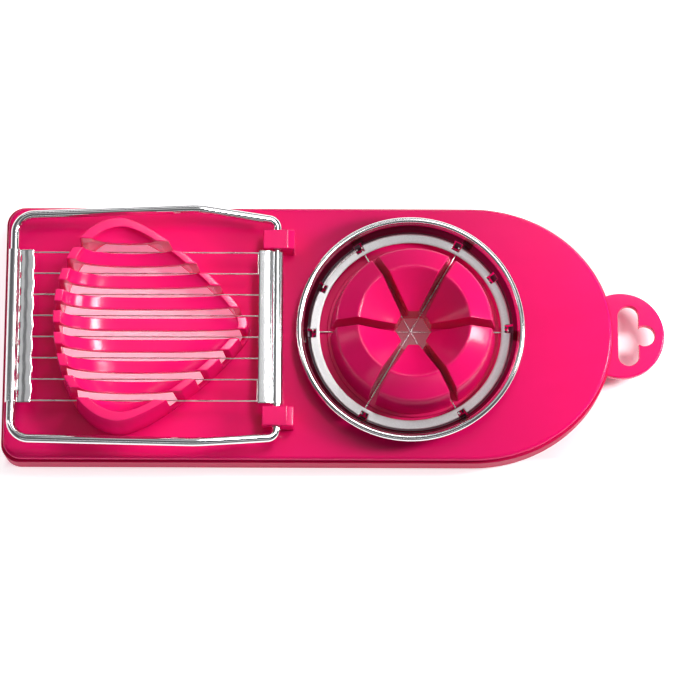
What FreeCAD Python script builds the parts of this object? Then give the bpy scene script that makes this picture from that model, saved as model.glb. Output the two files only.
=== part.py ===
# Egg slicer: a flat board with a slotted egg cradle under a hinged wire frame at one end,
# and a six-petal cup with a loose wedging ring at the other.
# X runs along the board towards the hanging tab, Z is up, and the origin is under the middle
# of the whole length, on the surface that the board stands on. Millimetres throughout.
import FreeCAD, Part, Sketcher

import math
import os

from FreeCAD import Placement, Rotation, Vector

DRIVING_SIZES = {
    # board
    "board_left": -108.0,
    "board_straight_end": 45.0,
    "board_nose_over": 3.8,
    "board_half_width": 41.8,
    "board_corner": 6.0,
    "board_height": 12.0,
    "deck_thick": 2.6,
    "deck_edge_round": 1.0,
    "skirt_outset": 0.8,
    "skirt_wall": 2.6,
    "skirt_edge_round": 0.5,
    # hanging tab
    "tab_offset": 3.2,
    "tab_radius": 14.2,
    "tab_thick": 3.2,
    "tab_edge_round": 0.64,
    "tab_slot_offset": 2.4,
    "tab_slot_reach": 6.6,
    "tab_slot_radius": 3.4,
    "tab_lobe_reach": 5.2,
    # hinge
    "hinge_x": -18.6,
    "hinge_rise": 6.6,
    "rod_radius": 1.4,
    "hinge_play": 0.08,
    "hook_y": 29.2,
    "hook_deep": 6.4,
    "hook_long": 10.2,
    "hook_nose": 4.6,
    "hook_roof": 1.3,
    "hook_mouth_drop": 1.1,
    # wire frame
    "frame_far_x": -103.8,
    "frame_far_half": 36.8,
    "frame_far_rise": 9.3,
    "frame_bend_x": -44.0,
    "frame_bend_half": 38.5,
    "frame_bend_rise": 12.0,
    "frame_hinge_half": 35.9,
    "frame_far_corner": 6.0,
    "frame_bend_corner": 22.0,
    "frame_hinge_corner": 3.1,
    "plate_half": 25.3,
    "plate_curl": 0.85,
    "plate_thick": 1.2,
    "plate_grip": 0.03,
    "far_plate_reach": 6.4,
    "hinge_plate_reach": 5.7,
    "wire_over_hinge": 2.3,
    "wire_radius": 0.23,
    "wire_pitch": 7.0,
    "wire_bite": 3.0,
    "wire_hole_play": 0.05,
    # cradle
    "cradle_left_x": -89.6,
    "cradle_apex_x": -68.8,
    "cradle_tip_x": -28.5,
    "cradle_half": 33.0,
    "cradle_shoulder": 10.8,
    "cradle_tip_round": 6.5,
    "cradle_left_rise": 23.5,
    "cradle_tip_rise": 14.0,
    "cradle_flare": 1.3,
    "cradle_land": 2.7,
    "cradle_wall": 2.2,
    "dish_floor_rise": 11.5,
    "dish_reach": 20.0,
    "cradle_slot": 3.0,
    "cradle_slot_floor": 1.7,
    # wedge cup
    "cup_x": 25.6,
    "cup_base_radius": 27.0,
    "cup_plinth_radius": 28.0,
    "cup_plinth_thick": 0.8,
    "cup_shoulder_radius": 25.0,
    "cup_shoulder_rise": 14.0,
    "cup_ridge_radius": 18.0,
    "cup_ridge_rise": 18.6,
    "cup_throat_radius": 4.6,
    "cup_throat_rise": 8.0,
    "cup_hex_flats": 11.0,
    "cup_slot": 2.5,
    "cup_bowl_sag": 1.6,
    # wedging ring
    "ring_off_x": -0.9,
    "ring_flange_inner": 29.5,
    "ring_wall_foot": 32.4,
    "ring_wall_head": 35.1,
    "ring_sheet": 0.5,
    "ring_flange_rise": 2.6,
    "ring_bead_radius": 1.15,
    "ring_bead_rise": 7.0,
    "ring_notch": 2.3,
    "ring_notch_turn": 1.5,
    "ring_wire_gap": 0.3,
    "ring_wire_radius": 0.22,
    "ring_wire_bend": 0.66,
    "ring_wire_step": 0.47,
    "ring_wire_end": 31.7,
    "ring_wire_leg": 2.0,
    "ring_lacing_gap": 0.25,
}

SLICING_WIRES = 8
CUP_SLOTS = 6
DISH_SECTIONS = 7
LACING_NOTCHES = (32.0, 152.0)
LACING_SPAN = (121.0, 152.0)
FAR_ABOVE = 80.0
SPARE = 1.0
LEVEL_TOLERANCE = 1e-4
TUBE_TOLERANCE = 0.01
NOTCH_INWARD = 0.75
UP = Vector(0, 0, 1)


class Size:
    """A number together with the spreadsheet formula that gives it."""

    def __init__(self, number, formula):
        self.number = number
        self.formula = formula

    def joined(self, other, sign, result):
        right = other.formula if isinstance(other, Size) else repr(float(other))
        return Size(result, "(" + self.formula + " " + sign + " " + right + ")")

    def __add__(self, other):
        return self.joined(other, "+", self.number + plain(other))

    def __sub__(self, other):
        return self.joined(other, "-", self.number - plain(other))

    def __mul__(self, other):
        return self.joined(other, "*", self.number * plain(other))

    def __truediv__(self, other):
        return self.joined(other, "/", self.number / plain(other))

    def __neg__(self):
        return self * -1.0


def plain(value):
    """The plain number of a size, or the number itself."""
    return value.number if isinstance(value, Size) else float(value)


doc = FreeCAD.newDocument("egg_slicer")
sheet = doc.addObject("Spreadsheet::Sheet", "Sizes")
for row, (alias, number) in enumerate(DRIVING_SIZES.items(), start=1):
    sheet.set("A" + str(row), alias.replace("_", " "))
    sheet.set("B" + str(row), str(number))
    sheet.setAlias("B" + str(row), alias)
doc.recompute()


def size(alias):
    """A driving size from the spreadsheet, ready to be bound to a feature."""
    return Size(float(getattr(sheet, alias)), "Sizes." + alias)


def mm(alias):
    """The number of a driving size."""
    return float(getattr(sheet, alias))


# Heights and places that several pieces share.
deck_top = size("board_height")
base_top = deck_top - size("deck_thick")
hinge_z = deck_top + size("hinge_rise")
far_rod_z = deck_top + size("frame_far_rise")
wire_z = hinge_z + size("wire_over_hinge")
ring_x = size("cup_x") + size("ring_off_x")
ring_floor = deck_top + size("ring_flange_rise")
far_plate_edge = size("frame_far_x") + size("far_plate_reach")
hinge_plate_edge = size("hinge_x") - size("hinge_plate_reach")
nose_reach = size("board_half_width") + size("board_nose_over")
tab_x = size("board_straight_end") + nose_reach + size("tab_offset")


def bind(feature, prop, value):
    """Bind one property of a feature to the spreadsheet."""
    feature.setExpression(prop, value.formula)


def new_body(name):
    """An empty body whose label names its node."""
    body = doc.addObject("PartDesign::Body", name)
    body.Label = name
    return body


def new_sketch(body, name, plane, offset=None):
    """A sketch on one of the body's own origin planes, lifted off it by an offset."""
    sketch = body.newObject("Sketcher::SketchObject", name)
    role_planes = [f for f in body.Origin.OriginFeatures if f.Role == plane]
    sketch.AttachmentSupport = [(role_planes[0], "")]
    sketch.MapMode = "FlatFace"
    if offset is not None:
        bind(sketch, "AttachmentOffset.Base.z", offset)
    return sketch


def pin_point(sketch, geometry, end, across, along):
    """Hold one point of a sketch at two bound distances from its origin."""
    for kind, value in (("DistanceX", across), ("DistanceY", along)):
        index = sketch.addConstraint(
            sketcher_constraint(kind, -1, 1, geometry, end, plain(value)))
        if isinstance(value, Size):
            sketch.setExpression("Constraints[" + str(index) + "]", value.formula)


def sketcher_constraint(*parts):
    """A sketch constraint of the named kind."""
    return Sketcher.Constraint(*parts)


def draw_polygon(sketch, corners):
    """A closed outline of straight lines whose corners are bound sizes."""
    points = [Vector(plain(x), plain(y), 0) for x, y in corners]
    count = len(points)
    for i in range(count):
        sketch.addGeometry(Part.LineSegment(points[i], points[(i + 1) % count]))
    for i in range(count):
        sketch.addConstraint(sketcher_constraint("Coincident", i, 2, (i + 1) % count, 1))
    for i, (across, along) in enumerate(corners):
        pin_point(sketch, i, 1, across, along)


def draw_circle(sketch, across, along, radius):
    """A full circle with a bound centre and radius."""
    centre = Vector(plain(across), plain(along), 0)
    index = sketch.addGeometry(Part.Circle(centre, UP, plain(radius)))
    pin_point(sketch, index, 3, across, along)
    held = sketch.addConstraint(sketcher_constraint("Radius", index, plain(radius)))
    sketch.setExpression("Constraints[" + str(held) + "]", radius.formula)


def pad(body, sketch, name, length, midplane=False):
    """Add material to a body from a sketch."""
    feature = body.newObject("PartDesign::Pad", name)
    feature.Profile = sketch
    bind(feature, "Length", length)
    feature.Midplane = midplane
    doc.recompute()
    return feature


def pocket(body, sketch, name, length, midplane=False, backwards=False):
    """Take material from a body with a sketch, and make sure that some was taken."""
    before = body.Shape.Volume
    feature = body.newObject("PartDesign::Pocket", name)
    feature.Profile = sketch
    bind(feature, "Length", length)
    feature.Midplane = midplane
    feature.Reversed = backwards
    doc.recompute()
    if body.Shape.Volume >= before:
        raise RuntimeError(name + " cuts nothing")
    return feature


def revolve(body, sketch, name):
    """A full turn of a sketch about its own upright axis."""
    feature = body.newObject("PartDesign::Revolution", name)
    feature.Profile = sketch
    feature.ReferenceAxis = (sketch, ["V_Axis"])
    feature.Angle = 360.0
    doc.recompute()
    return feature


def turned_copies(body, feature, name, count):
    """Repeat a feature evenly round the body's upright axis."""
    upright = [f for f in body.Origin.OriginFeatures if f.Role == "Z_Axis"][0]
    pattern = body.newObject("PartDesign::PolarPattern", name)
    pattern.Originals = [feature]
    pattern.Axis = (upright, [""])
    pattern.Angle = 360.0
    pattern.Occurrences = count
    body.Tip = pattern
    doc.recompute()
    return pattern


def shaped(name, shape, place=Placement()):
    """A node whose shape is made with Part's own functions, then put in its place."""
    feature = doc.addObject("Part::Feature", name)
    feature.Label = name
    feature.Shape = shape
    feature.Placement = place
    return feature


# ---------------------------------------------------------------- board

def board_outline(grow, height):
    """The board's outline as a face: square end, straight sides and a half-oval nose."""
    left = mm("board_left") + mm("skirt_outset") - grow
    half = mm("board_half_width") + grow
    straight = mm("board_straight_end")
    corner = mm("board_corner")
    nose = Part.Ellipse(Vector(straight, 0, height), nose_reach.number + grow, half)
    lean = corner * (1 - math.sqrt(0.5))
    edges = [
        Part.LineSegment(Vector(left + corner, -half, height), Vector(straight, -half, height)).toShape(),
        Part.ArcOfEllipse(nose, -math.pi / 2, math.pi / 2).toShape(),
        Part.LineSegment(Vector(straight, half, height), Vector(left + corner, half, height)).toShape(),
        Part.Arc(Vector(left + corner, half, height), Vector(left + lean, half - lean, height),
                 Vector(left, half - corner, height)).toShape(),
        Part.LineSegment(Vector(left, half - corner, height), Vector(left, corner - half, height)).toShape(),
        Part.Arc(Vector(left, corner - half, height), Vector(left + lean, lean - half, height),
                 Vector(left + corner, -half, height)).toShape(),
    ]
    return Part.Face(Part.Wire(edges))


def edges_at_height(shape, height):
    """The edges of a shape that lie flat at one height."""
    flat = []
    for edge in shape.Edges:
        box = edge.BoundBox
        if max(abs(box.ZMin - height), abs(box.ZMax - height)) < LEVEL_TOLERANCE:
            flat.append(edge)
    return flat


def hexagon_prism(flats, bottom, top):
    """An upright six-sided prism on the cup's axis, its corners in line with the cup's slots."""
    corner_radius = flats / math.sqrt(3)
    points = []
    for k in range(CUP_SLOTS + 1):
        angle = 2 * math.pi * k / CUP_SLOTS
        points.append(Vector(mm("cup_x") + corner_radius * math.cos(angle),
                             corner_radius * math.sin(angle), bottom))
    return Part.Face(Part.makePolygon(points)).extrude(Vector(0, 0, top - bottom))


def make_base_shell():
    """The lower shell: an open skirt that carries the deck, with the hanging tab at its nose."""
    top = base_top.number
    skirt = board_outline(mm("skirt_outset"), 0).extrude(Vector(0, 0, top))
    skirt = skirt.makeFillet(mm("skirt_edge_round"), edges_at_height(skirt, top))
    inside = board_outline(mm("skirt_outset") - mm("skirt_wall"), 0).extrude(Vector(0, 0, top))
    tab_floor = Vector(tab_x.number, 0, top - mm("tab_thick"))
    tab = Part.makeCylinder(mm("tab_radius"), mm("tab_thick"), tab_floor)
    rims = [edge for edge in tab.Edges if edge.Length > mm("tab_radius")]
    tab = tab.makeFillet(mm("tab_edge_round"), rims)
    slot_radius = mm("tab_slot_radius")
    slot_floor = Vector(tab_x.number + mm("tab_slot_offset"), 0, 0)
    hole = Part.makeBox(2 * slot_radius, 2 * mm("tab_slot_reach"), top + SPARE,
                        slot_floor - Vector(slot_radius, mm("tab_slot_reach"), 0))
    for side in (-1, 1):
        hole = hole.fuse(Part.makeCylinder(slot_radius, top + SPARE,
                                           slot_floor + Vector(0, side * mm("tab_slot_reach"), 0)))
    hole = hole.fuse(Part.makeCylinder(slot_radius, top + SPARE,
                                       slot_floor + Vector(mm("tab_lobe_reach"), 0, 0)))
    return shaped("base_shell", skirt.fuse(tab).cut(inside).cut(hole).removeSplitter())


def make_top_deck():
    """The deck plate, open under the cradle and under the cup's throat."""
    top = deck_top.number
    plate = board_outline(0, base_top.number).extrude(Vector(0, 0, mm("deck_thick")))
    plate = plate.makeFillet(mm("deck_edge_round"), edges_at_height(plate, top))
    well = Part.Face(cradle_outline(cradle_scale(mm("cradle_flare") - mm("cradle_wall")), 0))
    plate = plate.cut(well.extrude(Vector(0, 0, top + SPARE)))
    plate = plate.cut(hexagon_prism(mm("cup_hex_flats"), 0, top + SPARE))
    return shaped("top_deck", plate)


# ---------------------------------------------------------------- cradle

def cradle_middle():
    """The middle of the cradle's length."""
    return (mm("cradle_left_x") + mm("cradle_tip_x")) / 2


def cradle_scale(grow):
    """The scale that grows the cradle's outline outwards by about one distance."""
    return 1 + grow / mm("cradle_half")


def cradle_outline(scale, height):
    """The cradle's egg-and-point outline at one height, scaled about its middle."""
    apex_x = mm("cradle_apex_x")
    half = mm("cradle_half")
    tip_x = mm("cradle_tip_x")
    middle = cradle_middle()

    def place(x, y):
        return Vector(middle + (x - middle) * scale, y * scale, height)

    round_end = Part.Ellipse(place(apex_x, half), place(mm("cradle_left_x"), 0), place(apex_x, 0))
    flank = Part.BezierCurve()
    flank.setPoles([place(apex_x, half), place(apex_x + mm("cradle_shoulder"), half),
                    place(tip_x, mm("cradle_tip_round")), place(tip_x, 0)])
    mirror_flank = Part.BezierCurve()
    mirror_flank.setPoles([place(tip_x, 0), place(tip_x, -mm("cradle_tip_round")),
                           place(apex_x + mm("cradle_shoulder"), -half), place(apex_x, -half)])
    arc = Part.ArcOfEllipse(round_end, 0, math.pi).toShape()
    return Part.Wire(Part.__sortEdges__([arc, flank.toShape(), mirror_flank.toShape()]))


def rim_slope():
    """How much the cradle's rim rises for each millimetre along X."""
    fall = mm("cradle_left_rise") - mm("cradle_tip_rise")
    return -fall / (mm("cradle_tip_x") - mm("cradle_left_x"))


def leant(wire, floor, share, extra=0.0):
    """A flat outline lifted from the dish's floor by a share of the way to the sloping rim."""
    slope = rim_slope() * share
    rim_at_zero = deck_top.number + mm("cradle_left_rise") - rim_slope() * mm("cradle_left_x")
    full_floor = deck_top.number + mm("dish_floor_rise")
    lift = floor + (rim_at_zero - full_floor) * share + extra
    shear = FreeCAD.Matrix()
    shear.A31 = slope
    shear.A34 = lift
    return wire.transformGeometry(shear)


def above_rim(drop):
    """The space above the cradle's sloping rim, lowered by a drop."""
    left = mm("cradle_left_x") - FAR_ABOVE
    right = mm("cradle_tip_x") + FAR_ABOVE
    rim = deck_top.number + mm("cradle_left_rise") - drop
    wide = 2 * mm("cradle_half")
    points = [Vector(left, -wide, rim + rim_slope() * (left - mm("cradle_left_x"))),
              Vector(right, -wide, rim + rim_slope() * (right - mm("cradle_left_x"))),
              Vector(right, -wide, rim + FAR_ABOVE),
              Vector(left, -wide, rim + FAR_ABOVE)]
    return Part.Face(Part.makePolygon(points + points[:1])).extrude(Vector(0, 2 * wide, 0))


def dish(thick):
    """The hollow that the egg lies in, grown outwards and down by a thickness."""
    floor = deck_top.number + mm("dish_floor_rise") - thick
    sections = []
    for k in range(DISH_SECTIONS):
        angle = math.pi / 2 * k / (DISH_SECTIONS - 1)
        inset = mm("cradle_land") + mm("dish_reach") * (1 - math.sin(angle)) - thick
        outline = cradle_outline(cradle_scale(-inset), 0)
        sections.append(leant(outline, floor, 1 - math.cos(angle)))
    mouth = leant(cradle_outline(cradle_scale(thick - mm("cradle_land")), 0), floor, 1.0, thick + SPARE)
    lower = Part.makeLoft(sections, True, False)
    upper = Part.makeLoft([sections[-1], mouth], True, True)
    return lower.fuse(upper)


def make_slicing_cradle():
    """The cradle: a walled dish cut into strips by a slot for each slicing wire."""
    floor = deck_top.number
    foot = cradle_outline(cradle_scale(mm("cradle_flare")), floor)
    head = cradle_outline(1, floor + mm("cradle_left_rise") + SPARE)
    outside = Part.makeLoft([foot, head], True, True)
    inner_foot = cradle_outline(cradle_scale(mm("cradle_flare") - mm("cradle_wall")), floor)
    inner_head = cradle_outline(cradle_scale(-mm("cradle_wall")), floor + mm("cradle_left_rise") + SPARE)
    underside = Part.makeLoft([inner_foot, inner_head], True, True)
    underside = underside.cut(dish(mm("cradle_wall"))).cut(above_rim(mm("cradle_wall")))
    cradle = outside.cut(above_rim(0)).cut(dish(0)).cut(underside)
    length = mm("cradle_tip_x") - mm("cradle_left_x") + 4 * mm("cradle_flare")
    for y in wire_places():
        corner = Vector(mm("cradle_left_x") - 2 * mm("cradle_flare"), y - mm("cradle_slot") / 2,
                        floor + mm("cradle_slot_floor"))
        cradle = cradle.cut(Part.makeBox(length, mm("cradle_slot"), FAR_ABOVE, corner))
    return shaped("slicing_cradle", cradle)


# ---------------------------------------------------------------- cup

def make_wedge_cup():
    """The wedge cup: six petals round a bowl, parted by slots and open through a hexagon."""
    body = new_body("wedge_cup")
    plinth_top = deck_top + size("cup_plinth_thick")
    shoulder_z = deck_top + size("cup_shoulder_rise")
    ridge_z = deck_top + size("cup_ridge_rise")
    throat_z = deck_top + size("cup_throat_rise")
    middle_radius = (size("cup_ridge_radius") + size("cup_throat_radius")) / 2
    middle_z = (ridge_z + throat_z) / 2 - size("cup_bowl_sag")
    profile = new_sketch(body, "cup_profile", "XZ_Plane")
    draw_polygon(profile, [
        (0.0, deck_top), (size("cup_plinth_radius"), deck_top), (size("cup_plinth_radius"), plinth_top),
        (size("cup_base_radius"), plinth_top), (size("cup_shoulder_radius"), shoulder_z),
        (size("cup_ridge_radius"), ridge_z), (middle_radius, middle_z),
        (size("cup_throat_radius"), throat_z), (0.0, throat_z)])
    revolve(body, profile, "cup_turned")
    slot_sketch = new_sketch(body, "cup_slot_plan", "XY_Plane", plinth_top)
    half_slot = size("cup_slot") / 2
    draw_polygon(slot_sketch, [(0.0, -half_slot), (size("cup_plinth_radius"), -half_slot),
                               (size("cup_plinth_radius"), half_slot), (0.0, half_slot)])
    slot = pocket(body, slot_sketch, "cup_slot_cut", size("cup_ridge_rise"), backwards=True)
    turned_copies(body, slot, "cup_slots", CUP_SLOTS)
    throat = new_sketch(body, "cup_throat_plan", "XY_Plane", deck_top)
    corner_radius = size("cup_hex_flats") / math.sqrt(3)
    turns = [2 * math.pi * k / CUP_SLOTS for k in range(CUP_SLOTS)]
    draw_polygon(throat, [(corner_radius * math.cos(turn), corner_radius * math.sin(turn)) for turn in turns])
    pocket(body, throat, "cup_throat_cut", size("cup_ridge_rise"), backwards=True)
    bind(body, "Placement.Base.x", size("cup_x"))
    return body


# ---------------------------------------------------------------- hinge

def make_hinge_hook(name, side):
    """One moulded hook: a roof and leg round the frame's hinge rod, open below its nose."""
    body = new_body(name)
    left = size("hinge_x") - size("hook_nose")
    right = left + size("hook_long")
    roof = hinge_z + size("rod_radius") + size("hinge_play") + size("hook_roof")
    mouth = hinge_z - size("hook_mouth_drop")
    profile = new_sketch(body, name + "_profile", "XZ_Plane")
    draw_polygon(profile, [(size("hinge_x"), deck_top), (right, deck_top), (right, roof), (left, roof),
                           (left, mouth), (size("hinge_x"), mouth)])
    pad(body, profile, name + "_block", size("hook_deep"), midplane=True)
    bore = new_sketch(body, name + "_bore", "XZ_Plane")
    draw_circle(bore, size("hinge_x"), hinge_z, size("rod_radius") + size("hinge_play"))
    pocket(body, bore, name + "_bore_cut", size("hook_deep") + 2 * SPARE, midplane=True)
    bind(body, "Placement.Base.y", size("hook_y") * side)
    return body


# ---------------------------------------------------------------- wire frame

def wire_places():
    """The Y places of the slicing wires, from front to rear."""
    return [(k - (SLICING_WIRES - 1) / 2) * mm("wire_pitch") for k in range(SLICING_WIRES)]


def rounded_path(points, radii):
    """Straight runs between points, joined by tangent arcs of the given radii."""
    edges = []
    start = points[0]
    for before, corner, after, radius in zip(points, points[1:], points[2:], radii):
        back = (before - corner).normalize()
        ahead = (after - corner).normalize()
        half_turn = back.getAngle(ahead) / 2
        reach = radius / math.tan(half_turn)
        middle = (back + ahead).normalize() * (radius / math.sin(half_turn) - radius)
        edges.append(Part.LineSegment(start, corner + back * reach).toShape())
        edges.append(Part.Arc(corner + back * reach, corner + middle, corner + ahead * reach).toShape())
        start = corner + ahead * reach
    edges.append(Part.LineSegment(start, points[-1]).toShape())
    return Part.Wire(edges)


def tube(path, radius):
    """A round solid along a path, checked against its section times its length."""
    start = path.Edges[0]
    heading = start.tangentAt(start.FirstParameter)
    ring = Part.Wire(Part.makeCircle(radius, start.Vertexes[0].Point, heading))
    solid = path.makePipeShell([ring], True, False)
    expected = math.pi * radius * radius * path.Length
    if not solid.isValid() or abs(solid.Volume / expected - 1) > TUBE_TOLERANCE:
        raise RuntimeError("a tube came out wrong")
    return solid


def make_frame_rod():
    """The frame's closed rod, cranked over the cradle and down to the hinge."""
    far_z = far_rod_z.number
    points = [
        Vector(mm("frame_far_x"), 0, far_z),
        Vector(mm("frame_far_x"), mm("frame_far_half"), far_z),
        Vector(mm("frame_bend_x"), mm("frame_bend_half"), deck_top.number + mm("frame_bend_rise")),
        Vector(mm("hinge_x"), mm("frame_hinge_half"), hinge_z.number),
        Vector(mm("hinge_x"), 0, hinge_z.number),
    ]
    radii = [mm("frame_far_corner"), mm("frame_bend_corner"), mm("frame_hinge_corner")]
    rear = tube(rounded_path(points, radii), mm("rod_radius"))
    front = rear.mirror(Vector(0, 0, 0), Vector(0, 1, 0))
    return shaped("frame_rod", rear.fuse(front).removeSplitter())


def make_wire_plate(name, rod_x, rod_z, edge_x):
    """A strip curled round the rod, with a tongue that holds the ends of the slicing wires."""
    body = new_body(name)
    bore_radius = size("rod_radius") + size("plate_grip")
    width = size("plate_half") * 2
    curl = new_sketch(body, name + "_curl", "XZ_Plane")
    draw_circle(curl, rod_x, rod_z, bore_radius + size("plate_curl"))
    pad(body, curl, name + "_curl_pad", width, midplane=True)
    tongue = new_sketch(body, name + "_tongue", "XZ_Plane")
    low = wire_z - size("plate_thick") / 2
    high = wire_z + size("plate_thick") / 2
    draw_polygon(tongue, [(rod_x, low), (edge_x, low), (edge_x, high), (rod_x, high)])
    pad(body, tongue, name + "_tongue_pad", width, midplane=True)
    bore = new_sketch(body, name + "_bore", "XZ_Plane")
    draw_circle(bore, rod_x, rod_z, bore_radius)
    pocket(body, bore, name + "_bore_cut", width + 2 * SPARE, midplane=True)
    holes = new_sketch(body, name + "_holes", "YZ_Plane", edge_x)
    hole_radius = size("wire_radius") + size("wire_hole_play")
    for k in range(SLICING_WIRES):
        draw_circle(holes, size("wire_pitch") * (k - (SLICING_WIRES - 1) / 2), wire_z, hole_radius)
    pocket(body, holes, name + "_holes_cut", size("wire_bite") + size("wire_hole_play"),
           backwards=plain(edge_x) < plain(rod_x))
    return body


def make_slicing_wires():
    """The taut wires, each let into both plates."""
    wires = []
    start_x = far_plate_edge - size("wire_bite")
    length = hinge_plate_edge - far_plate_edge + size("wire_bite") * 2
    for number in range(1, SLICING_WIRES + 1):
        wire = doc.addObject("Part::Cylinder", "slicing_wire_" + str(number))
        wire.Label = "slicing_wire_" + str(number)
        bind(wire, "Radius", size("wire_radius"))
        bind(wire, "Height", length)
        wire.Placement = Placement(
            Vector(start_x.number, wire_places()[number - 1], wire_z.number), Rotation(Vector(0, 1, 0), 90))
        wires.append(wire)
    return wires


def make_slicing_wire_returns():
    """The short stretches that carry the first and last pairs of wires over to each other."""
    runs = []
    radius = mm("wire_radius")
    drop = 2 * radius + mm("wire_hole_play")
    for first in (0, SLICING_WIRES - 2):
        start = Vector(hinge_plate_edge.number - 2 * radius, wire_places()[first], wire_z.number - drop)
        runs.append(Part.makeCylinder(radius, mm("wire_pitch"), start, Vector(0, 1, 0)))
    return shaped("slicing_wire_returns", Part.makeCompound(runs))


# ---------------------------------------------------------------- wedging ring

def make_ring_band():
    """The ring's pressed band: a flat flange, a sloping wall and a rolled bead at its head."""
    body = new_body("ring_band")
    sheet_thick = size("ring_sheet")
    flange_top = ring_floor + sheet_thick
    bead_z = deck_top + size("ring_bead_rise")
    profile = new_sketch(body, "ring_profile", "XZ_Plane")
    draw_polygon(profile, [
        (size("ring_flange_inner"), ring_floor), (size("ring_wall_foot") + sheet_thick, ring_floor),
        (size("ring_wall_head") + sheet_thick, bead_z), (size("ring_wall_head"), bead_z),
        (size("ring_wall_foot"), flange_top), (size("ring_flange_inner"), flange_top)])
    revolve(body, profile, "ring_turned")
    bead = new_sketch(body, "ring_bead_profile", "XZ_Plane")
    draw_circle(bead, size("ring_wall_head") + size("ring_bead_radius") - sheet_thick / 2, bead_z,
                size("ring_bead_radius"))
    revolve(body, bead, "ring_bead_turned")
    for name, turns in (("ring_wire_notch", CUP_SLOTS), ("ring_lacing_notch", 1)):
        plan = new_sketch(body, name + "_plan", "XY_Plane", ring_floor)
        half_notch = size("ring_notch") / 2
        inner = size("ring_wall_foot") - size("ring_notch") * NOTCH_INWARD
        outer = size("ring_wall_foot") + sheet_thick + size("ring_notch") / 2
        middle = Vector((inner.number + outer.number) / 2, 0, 0)
        if turns > 1:
            draw_polygon(plan, [(inner, -half_notch), (outer, -half_notch),
                                (outer, half_notch), (inner, half_notch)])
            cut = pocket(body, plan, name, size("ring_notch"), backwards=True)
            turned_copies(body, cut, name + "s", turns)
        else:
            for angle in LACING_NOTCHES:
                centre = Rotation(UP, angle).multVec(middle)
                draw_circle(plan, Size(centre.x, repr(centre.x)), Size(centre.y, repr(centre.y)), half_notch)
            pocket(body, plan, name, size("ring_notch"), backwards=True)
    body.Placement = Placement(Vector(ring_x.number, 0, 0), Rotation(UP, mm("ring_notch_turn")))
    return body


def ring_wire_height(number):
    """The height of one of the ring's wires, each lying on the one below it."""
    lowest = deck_top.number + mm("cup_plinth_thick") + mm("ring_wire_gap") + mm("ring_wire_radius")
    return lowest + number * mm("ring_wire_step")


def make_wedge_wires():
    """The ring's three crossing wires, with their ends turned up through the notches."""
    wires = []
    for number in range(CUP_SLOTS // 2):
        height = ring_wire_height(number)
        end = mm("ring_wire_end")
        top = ring_floor.number + mm("ring_wire_leg")
        points = [Vector(-end, 0, top), Vector(-end, 0, height), Vector(end, 0, height), Vector(end, 0, top)]
        bend = mm("ring_wire_bend")
        wire = tube(rounded_path(points, [bend, bend]), mm("ring_wire_radius"))
        place = Placement(Vector(ring_x.number, 0, 0), Rotation(UP, 360 / CUP_SLOTS * number))
        wires.append(shaped("wedge_wire_" + str(number + 1), wire, place))
    return wires


def make_wedge_wire_lacing():
    """The stretch of ring wire that runs round inside the wall between two notches."""
    first, last = LACING_SPAN
    radius = mm("ring_wire_radius")
    across = mm("ring_wall_foot") - radius - mm("ring_lacing_gap")
    height = ring_floor.number + mm("ring_sheet") + radius + mm("ring_lacing_gap")
    profile = Part.Face(Part.Wire(Part.makeCircle(radius, Vector(across, 0, height), Vector(0, 1, 0))))
    arc = profile.revolve(Vector(0, 0, 0), UP, last - first)
    place = Placement(Vector(ring_x.number, 0, 0), Rotation(UP, first + mm("ring_notch_turn")))
    return shaped("wedge_wire_lacing", arc, place)


nodes = [
    make_base_shell(),
    make_top_deck(),
    make_slicing_cradle(),
    make_wedge_cup(),
    make_hinge_hook("hinge_hook_rear", 1),
    make_hinge_hook("hinge_hook_front", -1),
    make_frame_rod(),
    make_wire_plate("far_wire_plate", size("frame_far_x"), far_rod_z, far_plate_edge),
    make_wire_plate("hinge_wire_plate", size("hinge_x"), hinge_z, hinge_plate_edge),
    *make_slicing_wires(),
    make_slicing_wire_returns(),
    make_ring_band(),
    *make_wedge_wires(),
    make_wedge_wire_lacing(),
]
doc.recompute()

for item in doc.Objects:
    if "Invalid" in item.State or "Error" in item.State:
        raise RuntimeError(item.Name + " did not build: " + str(item.State))
for node in nodes:
    if node.Shape.isNull() or not node.Shape.isValid():
        raise RuntimeError(node.Label + " has no sound shape")

os.makedirs("parts", exist_ok=True)
for node in nodes:
    node.Shape.exportStep("parts/" + node.Label + ".step")
    box = node.Shape.BoundBox
    print(node.Label, len(node.Shape.Solids), "solids", round(node.Shape.Volume, 1),
          [round(v, 2) for v in (box.XMin, box.XMax, box.YMin, box.YMax, box.ZMin, box.ZMax)])
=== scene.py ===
"""Looks of an egg slicer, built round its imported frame.

The board, the egg cradle, the wedge cup, the hinge hooks, the wire frame and the wedging ring are
rebuilt as finer meshes in the places that the frame gives them. Everything is in metres.
"""
import logging
import math
from dataclasses import dataclass
from enum import Enum
from typing import Any, Sequence

import bmesh
import bpy
from mathutils import Matrix, Vector


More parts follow.
